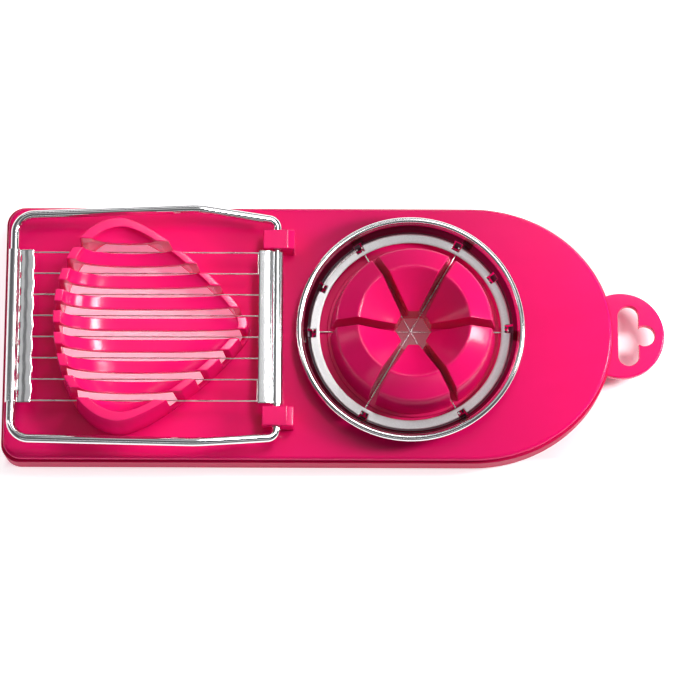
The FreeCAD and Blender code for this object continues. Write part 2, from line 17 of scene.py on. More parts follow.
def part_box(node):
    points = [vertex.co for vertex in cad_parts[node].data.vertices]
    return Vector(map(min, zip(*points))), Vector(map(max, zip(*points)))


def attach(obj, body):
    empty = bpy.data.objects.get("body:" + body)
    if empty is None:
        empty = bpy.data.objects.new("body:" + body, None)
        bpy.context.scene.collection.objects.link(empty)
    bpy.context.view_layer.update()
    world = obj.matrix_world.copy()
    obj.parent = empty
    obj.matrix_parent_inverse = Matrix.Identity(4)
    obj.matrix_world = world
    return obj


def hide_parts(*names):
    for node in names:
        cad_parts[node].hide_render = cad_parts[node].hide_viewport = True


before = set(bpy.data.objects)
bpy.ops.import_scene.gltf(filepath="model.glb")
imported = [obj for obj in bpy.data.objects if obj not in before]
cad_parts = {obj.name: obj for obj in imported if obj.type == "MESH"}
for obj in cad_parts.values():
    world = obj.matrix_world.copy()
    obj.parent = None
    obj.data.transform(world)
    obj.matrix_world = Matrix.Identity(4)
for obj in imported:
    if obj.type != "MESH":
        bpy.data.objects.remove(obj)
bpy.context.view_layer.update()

log = logging.getLogger("egg_slicer")
MM = 0.001
WELD = 2e-6
Point = tuple[float, float, float]
Face = tuple[int, ...]


class Body(Enum):
    """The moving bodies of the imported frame."""

    BOARD = "root"
    FRAME = "slicer_frame"
    RING = "wedging_ring"


class Slot(Enum):
    """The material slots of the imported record."""

    PLASTIC = "pink_plastic"
    ROD = "bright_rod"
    PLATE = "pressed_plate"
    RING = "polished_ring"
    WIRE = "steel_wire"


# ------------------------------------------------------------------ shader graphs


class Signal:
    """One output of a material's nodes, usable in Python sums."""

    def __init__(self, graph: "Graph", socket: Any) -> None:
        """Wrap a socket.

        Args:
            graph: the graph that the socket belongs to.
            socket: the output socket.
        """
        self.graph = graph
        self.socket = socket

    def _math(self, operation: str, *values: Any) -> "Signal":
        """One Math node on the values, in order."""
        return self.graph.node("ShaderNodeMath", {"operation": operation}, dict(enumerate(values)))

    def __add__(self, other: Any) -> "Signal":
        """self + other."""
        return self._math("ADD", self, other)

    def __radd__(self, other: Any) -> "Signal":
        """other + self."""
        return self._math("ADD", other, self)

    def __sub__(self, other: Any) -> "Signal":
        """self - other."""
        return self._math("SUBTRACT", self, other)

    def __rsub__(self, other: Any) -> "Signal":
        """other - self."""
        return self._math("SUBTRACT", other, self)

    def __mul__(self, other: Any) -> "Signal":
        """self * other."""
        return self._math("MULTIPLY", self, other)

    def __rmul__(self, other: Any) -> "Signal":
        """other * self."""
        return self._math("MULTIPLY", other, self)

    def __truediv__(self, other: Any) -> "Signal":
        """self / other."""
        return self._math("DIVIDE", self, other)


class Graph:
    """A material's node tree, with short ways to add nodes."""

    def __init__(self, name: str) -> None:
        """Start an empty material.

        Args:
            name: the material's name.
        """
        self.material = bpy.data.materials.new(name)
        self.material.use_nodes = True
        self.tree = self.material.node_tree
        self.tree.nodes.clear()

    def node(self, kind: str, settings: dict[str, Any] | None = None,
             inputs: dict[Any, Any] | None = None, output: Any = 0) -> Signal:
        """Add any node.

        Args:
            kind: the node's type.
            settings: attributes of the node, set before its sockets; a ramp's stops are "stops".
            inputs: socket names or numbers with their values or links.
            output: the name or number of the output to return.

        Returns:
            The chosen output.
        """
        made = self.tree.nodes.new(kind)
        for key, value in (settings or {}).items():
            if key == "stops":
                self._set_stops(made.color_ramp, value)
            else:
                setattr(made, key, value)
        for key, value in (inputs or {}).items():
            if isinstance(value, Signal):
                self.tree.links.new(value.socket, made.inputs[key])
            else:
                made.inputs[key].default_value = value
        return Signal(self, made.outputs[output]) if len(made.outputs) else Signal(self, None)

    def _set_stops(self, ramp: Any, stops: Sequence[tuple[float, float]]) -> None:
        """Give a ramp its grey stops.

        Args:
            ramp: the ramp.
            stops: a place and a brightness for each stop.
        """
        while len(ramp.elements) < len(stops):
            ramp.elements.new(1.0)
        for element, (place, grey) in zip(ramp.elements, stops):
            element.position = place
            element.color = (grey, grey, grey, 1.0)

    def place(self) -> Signal:
        """The point on the piece, in metres in the row frame."""
        return self.node("ShaderNodeTexCoord", output="Object")

    def scaled(self, point: Signal, stretch: Point) -> Signal:
        """A point with each axis stretched on its own."""
        return self.node("ShaderNodeVectorMath", {"operation": "MULTIPLY"}, {0: point, 1: stretch})

    def noise(self, point: Signal, scale: float, detail: float = 2.0, rough: float = 0.5) -> Signal:
        """Soft noise from 0 to 1 at a point.

        Args:
            point: where the noise is read.
            scale: how many features there are in a metre.
            detail: octaves of finer noise.
            rough: how strong the finer octaves are.

        Returns:
            The noise value.
        """
        return self.node("ShaderNodeTexNoise", {"noise_dimensions": "3D"},
                         {"Vector": point, "Scale": scale, "Detail": detail, "Roughness": rough})

    def ramp(self, value: Signal, *stops: tuple[float, float]) -> Signal:
        """A value remapped through grey stops."""
        return self.node("ShaderNodeValToRGB", {"stops": stops}, {0: value})

    def mix(self, factor: Any, first: Any, second: Any) -> Signal:
        """A colour between two others."""
        return self.node("ShaderNodeMix", {"data_type": "RGBA"}, {0: factor, 6: first, 7: second}, output=2)

    def bump(self, height: Signal, distance: float, strength: float = 1.0,
             under: Signal | None = None) -> Signal:
        """A normal pushed about by a height.

        Args:
            height: the height, from 0 to 1.
            distance: what a height of 1 stands for, in metres.
            strength: how much of the effect is used.
            under: a normal that is already pushed about, if there is one.

        Returns:
            The new normal.
        """
        inputs: dict[Any, Any] = {"Height": height, "Distance": distance, "Strength": strength}
        if under is not None:
            inputs["Normal"] = under
        return self.node("ShaderNodeBump", inputs=inputs)

    def finish(self, sockets: dict[str, Any]) -> bpy.types.Material:
        """Close the graph with the surface shader.

        Args:
            sockets: the shader's sockets with their values or links.

        Returns:
            The finished material.
        """
        shader = self.node("ShaderNodeBsdfPrincipled", inputs=sockets)
        self.node("ShaderNodeOutputMaterial", inputs={"Surface": shader})
        return self.material


# ------------------------------------------------------------------ finishes


@dataclass(frozen=True)
class GlossPlastic:
    """Injection-moulded glossy plastic with a faint flow of colour and fine scuffs."""

    name: str
    colour: tuple[float, float, float] = (0.88, 0.006, 0.150)
    deep: tuple[float, float, float] = (0.76, 0.004, 0.112)
    worn: tuple[float, float, float] = (0.98, 0.12, 0.30)
    roughness: float = 0.18
    specular: float = 0.28
    coat: float = 0.07
    ripple: float = 0.000010

    def material(self) -> bpy.types.Material:
        """The plastic's material."""
        graph = Graph(self.name)
        place = graph.place()
        flow = graph.noise(graph.scaled(place, (1.0, 2.2, 1.6)), 34.0, 3.0, 0.55)
        grain = graph.noise(place, 2600.0, 2.0)
        scuffs = graph.noise(graph.scaled(place, (1.0, 7.0, 4.0)), 420.0, 4.0, 0.7)
        scuffed = graph.ramp(scuffs, (0.0, 0.0), (0.60, 0.0), (0.78, 1.0))
        base = graph.mix(flow, (*self.colour, 1.0), (*self.deep, 1.0))
        base = graph.mix(scuffed * 0.025, base, (*self.worn, 1.0))
        gloss = self.roughness + scuffed * 0.10 + (grain - 0.5) * 0.05
        peel = graph.bump(graph.noise(place, 210.0, 2.0), self.ripple * 4, 0.6)
        normal = graph.bump(grain, self.ripple, 0.5, under=peel)
        return graph.finish({
            "Base Color": base, "Roughness": gloss, "Normal": normal, "IOR": 1.52,
            "Specular IOR Level": self.specular, "Coat Weight": self.coat, "Coat Roughness": 0.06,
            "Subsurface Weight": 0.06, "Subsurface Radius": (0.004, 0.001, 0.001), "Subsurface Scale": 0.6})


@dataclass(frozen=True)
class DrawnSteel:
    """Bright steel whose fine lines run one way, as drawing, rolling or pressing leaves it."""

    name: str
    colour: tuple[float, float, float] = (0.83, 0.83, 0.84)
    tarnish: tuple[float, float, float] = (0.60, 0.59, 0.58)
    roughness: float = 0.12
    lines: Point = (0.04, 1.0, 1.0)
    line_scale: float = 2400.0
    line_depth: float = 0.000004

    def material(self) -> bpy.types.Material:
        """The steel's material."""
        graph = Graph(self.name)
        place = graph.place()
        lines = graph.noise(graph.scaled(place, self.lines), self.line_scale, 3.0, 0.6)
        patches = graph.noise(place, 90.0, 3.0)
        marks = graph.ramp(graph.noise(place, 900.0, 4.0, 0.7), (0.0, 0.0), (0.62, 0.0), (0.8, 1.0))
        dull = graph.ramp(patches, (0.35, 0.0), (0.75, 0.5))
        base = graph.mix(dull * 0.5 + marks * 0.35, (*self.colour, 1.0), (*self.tarnish, 1.0))
        gloss = self.roughness + (lines - 0.5) * 0.12 + dull * 0.10 + marks * 0.14
        normal = graph.bump(lines, self.line_depth, 0.7)
        return graph.finish({"Base Color": base, "Roughness": gloss, "Normal": normal, "Metallic": 1.0})


@dataclass(frozen=True)
class SpunSteel:
    """Steel pressed and polished on a turning spindle, with fine rings round an upright axis."""

    name: str
    axis_x: float
    axis_y: float
    matt_below: float = 15.4 * MM
    colour: tuple[float, float, float] = (0.84, 0.84, 0.85)
    tarnish: tuple[float, float, float] = (0.62, 0.61, 0.60)
    painted_dark_reflection: tuple[float, float, float] = (0.15, 0.115, 0.14)
    pressed: tuple[float, float, float] = (0.50, 0.49, 0.495)
    wall_top: float = 18.4 * MM
    roughness: float = 0.13
    matt: float = 0.34

    def material(self) -> bpy.types.Material:
        """The steel's material."""
        graph = Graph(self.name)
        place = graph.place()
        centred = graph.node("ShaderNodeVectorMath", {"operation": "SUBTRACT"},
                             {0: place, 1: (self.axis_x, self.axis_y, 0.0)})
        flat = graph.scaled(centred, (1.0, 1.0, 0.0))
        radius = graph.node("ShaderNodeVectorMath", {"operation": "LENGTH"}, {0: flat}, output="Value")
        height = graph.node("ShaderNodeSeparateXYZ", inputs={0: centred}, output="Z")
        rings_at = graph.node("ShaderNodeCombineXYZ", inputs={"X": radius, "Y": height})
        rings = graph.noise(rings_at, 5200.0, 3.0, 0.6)
        grain = graph.noise(place, 3400.0, 2.0, 0.7)
        patches = graph.ramp(graph.noise(place, 120.0, 3.0), (0.4, 0.0), (0.8, 0.6))
        base = graph.mix(patches * 0.5 + (grain - 0.45) * 0.25, (*self.colour, 1.0), (*self.tarnish, 1.0))
        low = graph.node("ShaderNodeMath", {"operation": "LESS_THAN"}, {0: height, 1: self.matt_below})
        under_bead = graph.node("ShaderNodeMath", {"operation": "LESS_THAN"}, {0: height, 1: self.wall_top})
        # The upright wall between the flange and the bead is painted near black and purplish: a painted dark
        # reflection of the shaded cup, not a tint of the steel.
        base = graph.mix(under_bead - low, base, (*self.painted_dark_reflection, 1.0))
        base = graph.mix(low * (0.75 + (grain - 0.5) * 0.8), base, (*self.pressed, 1.0))
        gloss = self.roughness + (rings - 0.5) * 0.10 + patches * 0.10 + low * self.matt
        normal = graph.bump(rings, 0.000003, 0.6, under=graph.bump(grain, 0.000004, 0.6))
        return graph.finish({"Base Color": base, "Roughness": gloss, "Normal": normal, "Metallic": 1.0})


@dataclass(frozen=True)
class PaleFloor:
    """A plain pale sweep, lit through from below and dimmer in the board's shade."""

    name: str = "pale_floor"
    colour: tuple[float, float, float] = (0.94, 0.94, 0.945)
    open_glow: tuple[float, float, float] = (0.70, 0.70, 0.705)
    shade: tuple[float, float, float] = (0.46, 0.20, 0.30)
    deep_shade: tuple[float, float, float] = (0.10, 0.05, 0.06)
    board_half: tuple[float, float] = (104 * MM, 39 * MM)
    soft: float = 4 * MM

    def material(self) -> bpy.types.Material:
        """The floor's material."""
        graph = Graph(self.name)
        place = graph.place()
        reach = graph.node("ShaderNodeVectorMath", {"operation": "ABSOLUTE"}, {0: place})
        beyond = graph.node("ShaderNodeVectorMath", {"operation": "SUBTRACT"},
                            {0: reach, 1: (*self.board_half, 0.0)})
        along = graph.node("ShaderNodeSeparateXYZ", inputs={0: beyond}, output="X")
        across = graph.node("ShaderNodeSeparateXYZ", inputs={0: beyond}, output="Y")
        outside = graph.node("ShaderNodeMath", {"operation": "MAXIMUM"}, {0: along, 1: across})
        open_floor = graph.ramp(outside / self.soft, (0.0, 0.0), (1.0, 1.0))
        mottle = graph.noise(place, 9.0, 2.0)
        darker = tuple(part * 0.985 for part in self.colour)
        base = graph.mix(mottle, (*self.colour, 1.0), (*darker, 1.0))
        # Under the board the floor's glow is painted shade, tinted pink as painted bounce light from the
        # plastic, and darker still towards +X under the cup's throat.
        under_cup = graph.node("ShaderNodeSeparateXYZ", inputs={0: place}, output="X") / (30 * MM)
        towards_cup = graph.ramp(under_cup, (0.0, 0.0), (0.6, 1.0))
        shaded = graph.mix(towards_cup, (*self.shade, 1.0), (*self.deep_shade, 1.0))
        glow = graph.mix(open_floor, shaded, (*self.open_glow, 1.0))
        return graph.finish({"Base Color": base, "Roughness": 0.85, "Emission Color": glow,
                             "Emission Strength": 1.0})


# ------------------------------------------------------------------ mesh helpers


def new_piece(name: str, points: Sequence[Point], faces: Sequence[Face]) -> bpy.types.Object:
    """A mesh object in the row frame, welded and with its faces turned outwards.

    Args:
        name: the piece's name.
        points: its corners, in metres.
        faces: the corners of each face.

    Returns:
        The object, linked to the scene.
    """
    mesh = bpy.data.meshes.new(name)
    mesh.from_pydata([tuple(p) for p in points], [], [tuple(f) for f in faces])
    work = bmesh.new()
    work.from_mesh(mesh)
    bmesh.ops.remove_doubles(work, verts=work.verts, dist=WELD)
    bmesh.ops.dissolve_degenerate(work, edges=work.edges, dist=WELD)
    bmesh.ops.recalc_face_normals(work, faces=work.faces)
    work.to_mesh(mesh)
    work.free()
    mesh.validate()
    piece = bpy.data.objects.new(name, mesh)
    bpy.context.scene.collection.objects.link(piece)
    return piece


def apply_modifiers(piece: bpy.types.Object) -> None:
    """Turn a piece's modifiers into plain mesh.

    Args:
        piece: the piece.
    """
    bpy.context.view_layer.update()
    graph = bpy.context.evaluated_depsgraph_get()
    mesh = bpy.data.meshes.new_from_object(piece.evaluated_get(graph))
    piece.modifiers.clear()
    piece.data = mesh


def settle(piece: bpy.types.Object, smooth_angle: float = 35.0) -> None:
    """Apply a piece's modifiers and shade it smooth, its large faces kept flat.

    Args:
        piece: the object.
        smooth_angle: edges sharper than this many degrees stay sharp.
    """
    apply_modifiers(piece)
    piece.data.shade_smooth()
    piece.data.set_sharp_from_angle(angle=math.radians(smooth_angle))
    even = piece.modifiers.new("even_shading", "WEIGHTED_NORMAL")
    even.keep_sharp = True
    apply_modifiers(piece)


def round_edges(piece: bpy.types.Object, width: float, steps: int = 3, angle: float = 42.0) -> None:
    """Round the edges of a piece that are sharper than an angle, then settle it.

    Args:
        piece: the object.
        width: how far the rounding reaches from each edge, in metres.
        steps: faces across the rounding.
        angle: the least angle, in degrees, between faces at a rounded edge.
    """
    bevel = piece.modifiers.new("rounding", "BEVEL")
    bevel.width = width
    bevel.segments = steps
    bevel.limit_method = "ANGLE"
    bevel.angle_limit = math.radians(angle)
    bevel.use_clamp_overlap = False
    bevel.harden_normals = False
    bevel.miter_outer = "MITER_ARC"
    settle(piece)


def joined(name: str, pieces: Sequence[bpy.types.Object]) -> bpy.types.Object:
    """One object made of several.

    Args:
        name: the name of the result.
        pieces: the objects, which are used up.

    Returns:
        The joined object.
    """
    work = bmesh.new()
    for piece in pieces:
        work.from_mesh(piece.data)
    mesh = bpy.data.meshes.new(name)
    work.to_mesh(mesh)
    work.free()
    for piece in pieces:
        bpy.data.objects.remove(piece)
    made = bpy.data.objects.new(name, mesh)
    bpy.context.scene.collection.objects.link(made)
    return made


def skin(rows: Sequence[Sequence[Point]], close_rows: bool, close_columns: bool,
         cap_ends: bool = False) -> tuple[list[Point], list[Face]]:
    """Quads between neighbouring rows of points.

    Args:
        rows: rows of equally many points.
        close_rows: join the last point of each row to its first.
        close_columns: join the last row to the first.
        cap_ends: close the first and last rows with a face each.

    Returns:
        The points and the faces.
    """
    wide = len(rows[0])
    points = [p for row in rows for p in row]
    faces: list[Face] = []
    for i in range(len(rows) if close_columns else len(rows) - 1):
        k = (i + 1) % len(rows)
        for j in range(wide if close_rows else wide - 1):
            n = (j + 1) % wide
            faces.append((i * wide + j, i * wide + n, k * wide + n, k * wide + j))
    if cap_ends:
        faces.append(tuple(range(wide)))
        faces.append(tuple((len(rows) - 1) * wide + j for j in range(wide)))
    return points, faces


def arc_path(corners: Sequence[Vector], radii: Sequence[float], step: float) -> list[Vector]:
    """A path of straight runs joined by smooth arcs.

    Args:
        corners: the path's ends and corners.
        radii: the radius at each inner corner.
        step: about how long each stretch of an arc is.

    Returns:
        Points along the path.
    """
    path = [corners[0]]
    for before, corner, after, radius in zip(corners, corners[1:], corners[2:], radii):
        back = (before - corner).normalized()
        ahead = (after - corner).normalized()
        half_turn = back.angle(ahead) / 2
        reach = radius / math.tan(half_turn)
        centre = corner + (back + ahead).normalized() * (radius / math.sin(half_turn))
        first = corner + back * reach - centre
        last = corner + ahead * reach - centre
        sweep = math.pi - 2 * half_turn
        count = max(4, round(radius * sweep / step))
        for k in range(count + 1):
            share = k / count
            turned = first * math.sin((1 - share) * sweep) + last * math.sin(share * sweep)
            turned = turned / math.sin(sweep)
            path.append(centre + turned)
    path.append(corners[-1])
    return path


def tube(name: str, path: Sequence[Vector], radius: float, sides: int,
         closed: bool = False) -> bpy.types.Object:
    """A round rod or wire along a path.

    Args:
        name: the piece's name.
        path: points along its middle.
        radius: its radius.
        sides: how many flats its section has.
        closed: whether the path is a loop.

    Returns:
        The tube, shaded smooth.
    """
    count = len(path)
    rows = []
    across: Vector | None = None
    for i, point in enumerate(path):
        before = path[i - 1] if closed or i > 0 else point
        after = path[(i + 1) % count] if closed or i < count - 1 else point
        ahead = (after - before).normalized()
        if across is None:
            across = ahead.orthogonal().normalized()
        across = (across - ahead * across.dot(ahead)).normalized()
        upward = ahead.cross(across)
        rows.append([tuple(point + across * (radius * math.cos(2 * math.pi * k / sides))
                           + upward * (radius * math.sin(2 * math.pi * k / sides))) for k in range(sides)])
    piece = new_piece(name, *skin(rows, True, closed, cap_ends=not closed))
    settle(piece, 50.0)
    return piece


def dress(piece: bpy.types.Object, body: Body, finish: bpy.types.Material,
          replaced: Sequence[str] = ()) -> bpy.types.Object:
    """Give a piece its finish, its body and the nodes that it stands for.

    Args:
        piece: the object.
        body: the body that it rides on.
        finish: its material.
        replaced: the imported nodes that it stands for, if any.

    Returns:
        The same object.
    """
    piece.data.materials.clear()
    piece.data.materials.append(finish)
    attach(piece, body.value)
    if replaced:
        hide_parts(*replaced)
    log.info("%s: %d faces on %s", piece.name, len(piece.data.polygons), body.value)
    return piece


def spread(count: int) -> list[float]:
    """Evenly spaced shares from 0 to 1."""
    return [k / (count - 1) for k in range(count)]


def middle_of(node: str) -> Vector:
    """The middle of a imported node's box."""
    low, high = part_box(node)
    return (low + high) / 2


# ------------------------------------------------------------------ board


@dataclass
class Board:
    """The board: a deck with a rounded edge on a wider skirt, and a tab to hang it by."""

    finish: bpy.types.Material
    skirt_low_gloss_painted_shade: bpy.types.Material
    tab_finish: bpy.types.Material
    straight: float = 45.0 * MM
    reach: float = 45.6 * MM
    half: float = 41.8 * MM
    corner: float = 6.0 * MM
    deck_round: float = 1.0 * MM
    outset: float = 0.8 * MM
    skirt_round: float = 0.5 * MM
    skirt_wall: float = 2.6 * MM
    tab_x: float = 93.8 * MM
    tab_radius: float = 14.2 * MM
    tab_floor: float = 6.2 * MM
    tab_round: float = 0.64 * MM
    hole_x: float = 96.2 * MM
    hole_reach: float = 6.6 * MM
    hole_radius: float = 3.4 * MM
    lobe_reach: float = 5.2 * MM

    def outline(self, grow: float) -> list[tuple[float, float]]:
        """Points round the board's outline.

        Args:
            grow: how far outside the deck's own outline they lie.

        Returns:
            X and Y of each point, once round.
        """
        left = self.left + self.outset - grow
        half = self.half + grow
        points = []
        for k in range(97):
            turn = math.pi * (k / 96 - 0.5)
            points.append((self.straight + (self.reach + grow) * math.cos(turn), half * math.sin(turn)))
        for share in spread(26)[1:-1]:
            points.append((self.straight + (left + self.corner - self.straight) * share, half))
        for side, start in ((1, 0.5), (-1, 1.0)):
            for k in range(11):
                turn = math.pi * (start + k / 20)
                points.append((left + self.corner + self.corner * math.cos(turn),
                               side * (half - self.corner) + self.corner * math.sin(turn)))
        for share in spread(26)[1:-1]:
            points.append((left + self.corner + (self.straight - left - self.corner) * share, -half))
        return points

    def rounded(self, grow: float, low: float, high: float, radius: float) -> list[list[Point]]:
        """Outline loops from the bottom up, drawn in over a rounded top edge.

        Args:
            grow: how far outside the deck's own outline they lie.
            low: the bottom's height.
            high: the top's height.
            radius: the edge's radius.

        Returns:
            The loops.
        """
        loops = [[(x, y, low) for x, y in self.outline(grow)]]
        for k in range(7):
            turn = math.pi / 2 * k / 6
            z = high - radius + radius * math.sin(turn)
            loops.append([(x, y, z) for x, y in self.outline(grow - radius * (1 - math.cos(turn)))])
        return loops

    def holed(self, name: str, outer: list[list[Point]],
              holes: Sequence[list[list[Point]]]) -> bpy.types.Object:
        """A plate with holes through it.

        Args:
            name: the piece's name.
            outer: the outside's loops from the bottom up.
            holes: the same for each hole.

        Returns:
            The plate.
        """
        work = bmesh.new()
        ends: tuple[list[Any], list[Any]] = ([], [])
        for loops in (outer, *holes):
            rings = [[work.verts.new(p) for p in loop] for loop in loops]
            for lower, upper in zip(rings, rings[1:]):
                for k in range(len(lower)):
                    n = (k + 1) % len(lower)
                    work.faces.new((lower[k], lower[n], upper[n], upper[k]))
            for end, ring in zip(ends, (rings[0], rings[-1])):
                end.extend(work.edges.get((ring[k], ring[(k + 1) % len(ring)])) for k in range(len(ring)))
        for end in ends:
            bmesh.ops.triangle_fill(work, use_beauty=True, use_dissolve=False, edges=end)
        bmesh.ops.recalc_face_normals(work, faces=work.faces)
        mesh = bpy.data.meshes.new(name)
        work.to_mesh(mesh)
        work.free()
        piece = bpy.data.objects.new(name, mesh)
        bpy.context.scene.collection.objects.link(piece)
        return piece

    def deck(self, openings: Sequence[Sequence[tuple[float, float]]]) -> bpy.types.Object:
        """The deck, open under the cradle and the cup.

        Args:
            openings: the outline of each opening.

        Returns:
            The deck.
        """
        low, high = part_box("top_deck")
        holes = [[[(x, y, z) for x, y in opening] for z in (low.z, high.z)] for opening in openings]
        deck = self.holed("board_deck", self.rounded(0.0, low.z, high.z, self.deck_round), holes)
        settle(deck, 40.0)
        return dress(deck, Body.BOARD, self.finish, ["top_deck"])

    def skirt(self) -> bpy.types.Object:
        """The skirt: an open wall that the deck lies on."""
        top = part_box("base_shell")[1].z
        loops = self.rounded(self.outset, 0.0, top, self.skirt_round)
        inner = self.outline(self.outset - self.skirt_wall)
        loops.append([(x, y, top) for x, y in inner])
        loops.append([(x, y, 0.0) for x, y in inner])
        return new_piece("skirt", *skin(loops, True, True))

    def tab_outline(self, grow: float) -> list[tuple[float, float]]:
        """The tab's outline, closed inside the thickness of the skirt's nose.

        Args:
            grow: how far outside the tab's own outline it lies.

        Returns:
            X and Y of each point.
        """
        inside = self.outset - self.skirt_wall / 2
        radius = self.tab_radius + grow

        def nose(y: float) -> float:
            """How far the nose's middle line reaches at a place along Y."""
            return self.straight + (self.reach + inside) * math.sqrt(1 - (y / (self.half + inside)) ** 2)

        low, high = 0.0, radius
        for _ in range(40):
            y = (low + high) / 2
            within = self.tab_x - math.sqrt(radius * radius - y * y) < nose(y)
            low, high = (y, high) if within else (low, y)
        turn = math.atan2(low, nose(low) - self.tab_x)
        points = [(self.tab_x + radius * math.cos(turn * share), radius * math.sin(turn * share))
                  for share in (2 * k / 72 - 1 for k in range(73))]
        points += [(nose(low * share), low * share) for share in (1 - 2 * k / 24 for k in range(1, 24))]
        return points

    def hole_outline(self) -> list[tuple[float, float]]:
        """The hanging hole's outline: an upright slot with a lobe towards the tab's end."""
        radius = self.hole_radius
        lobe = self.hole_x + self.lobe_reach
        meet = math.acos((radius - self.lobe_reach) / radius)
        points = [(lobe + radius * math.cos(meet * share), radius * math.sin(meet * share))
                  for share in (2 * k / 28 - 1 for k in range(29))]
        for side, start in ((1, 0.0), (-1, math.pi)):
            for k in range(15):
                turn = start + math.pi * k / 14
                points.append((self.hole_x + radius * math.cos(turn),
                               side * self.hole_reach + radius * math.sin(turn)))
        return points

    def tab(self) -> bpy.types.Object:
        """The flat tab with its hanging hole."""
        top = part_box("base_shell")[1].z - 0.02 * MM
        loops = []
        for k in range(5):
            turn = math.pi / 2 * (1 - k / 4)
            grow = -self.tab_round * (1 - math.cos(turn))
            loops.append([(x, y, self.tab_floor + self.tab_round * (1 - math.sin(turn)))
                          for x, y in self.tab_outline(grow)])
        for k in range(5):
            turn = math.pi / 2 * k / 4
            grow = -self.tab_round * (1 - math.cos(turn))
            loops.append([(x, y, top - self.tab_round * (1 - math.sin(turn)))
                          for x, y in self.tab_outline(grow)])
        soft = 0.3 * MM
        centre_x = self.hole_x + self.lobe_reach / 4
        hole = []
        for z, wide in ((self.tab_floor, 1.03), (self.tab_floor + soft, 1.0), (top - soft, 1.0), (top, 1.03)):
            hole.append([(centre_x + (x - centre_x) * wide, y * wide, z) for x, y in self.hole_outline()])
        return self.holed("tab", loops, [hole])

    def build(self, openings: Sequence[Sequence[tuple[float, float]]]) -> None:
        """Build and dress the deck and the shell below it.

        Args:
            openings: the outline of each opening through the deck.
        """
        self.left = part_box("base_shell")[0].x
        self.deck(openings)
        shell = self.skirt()
        shell.name = "board_shell"
        settle(shell, 40.0)
        # The skirt wears a darker pink than the tab and deck: painted shade on its upright sides.
        dress(shell, Body.BOARD, self.skirt_low_gloss_painted_shade, ["base_shell"])
        tab = self.tab()
        tab.name = "hanging_tab"
        settle(tab, 40.0)
        dress(tab, Body.BOARD, self.tab_finish)


# ------------------------------------------------------------------ cradle


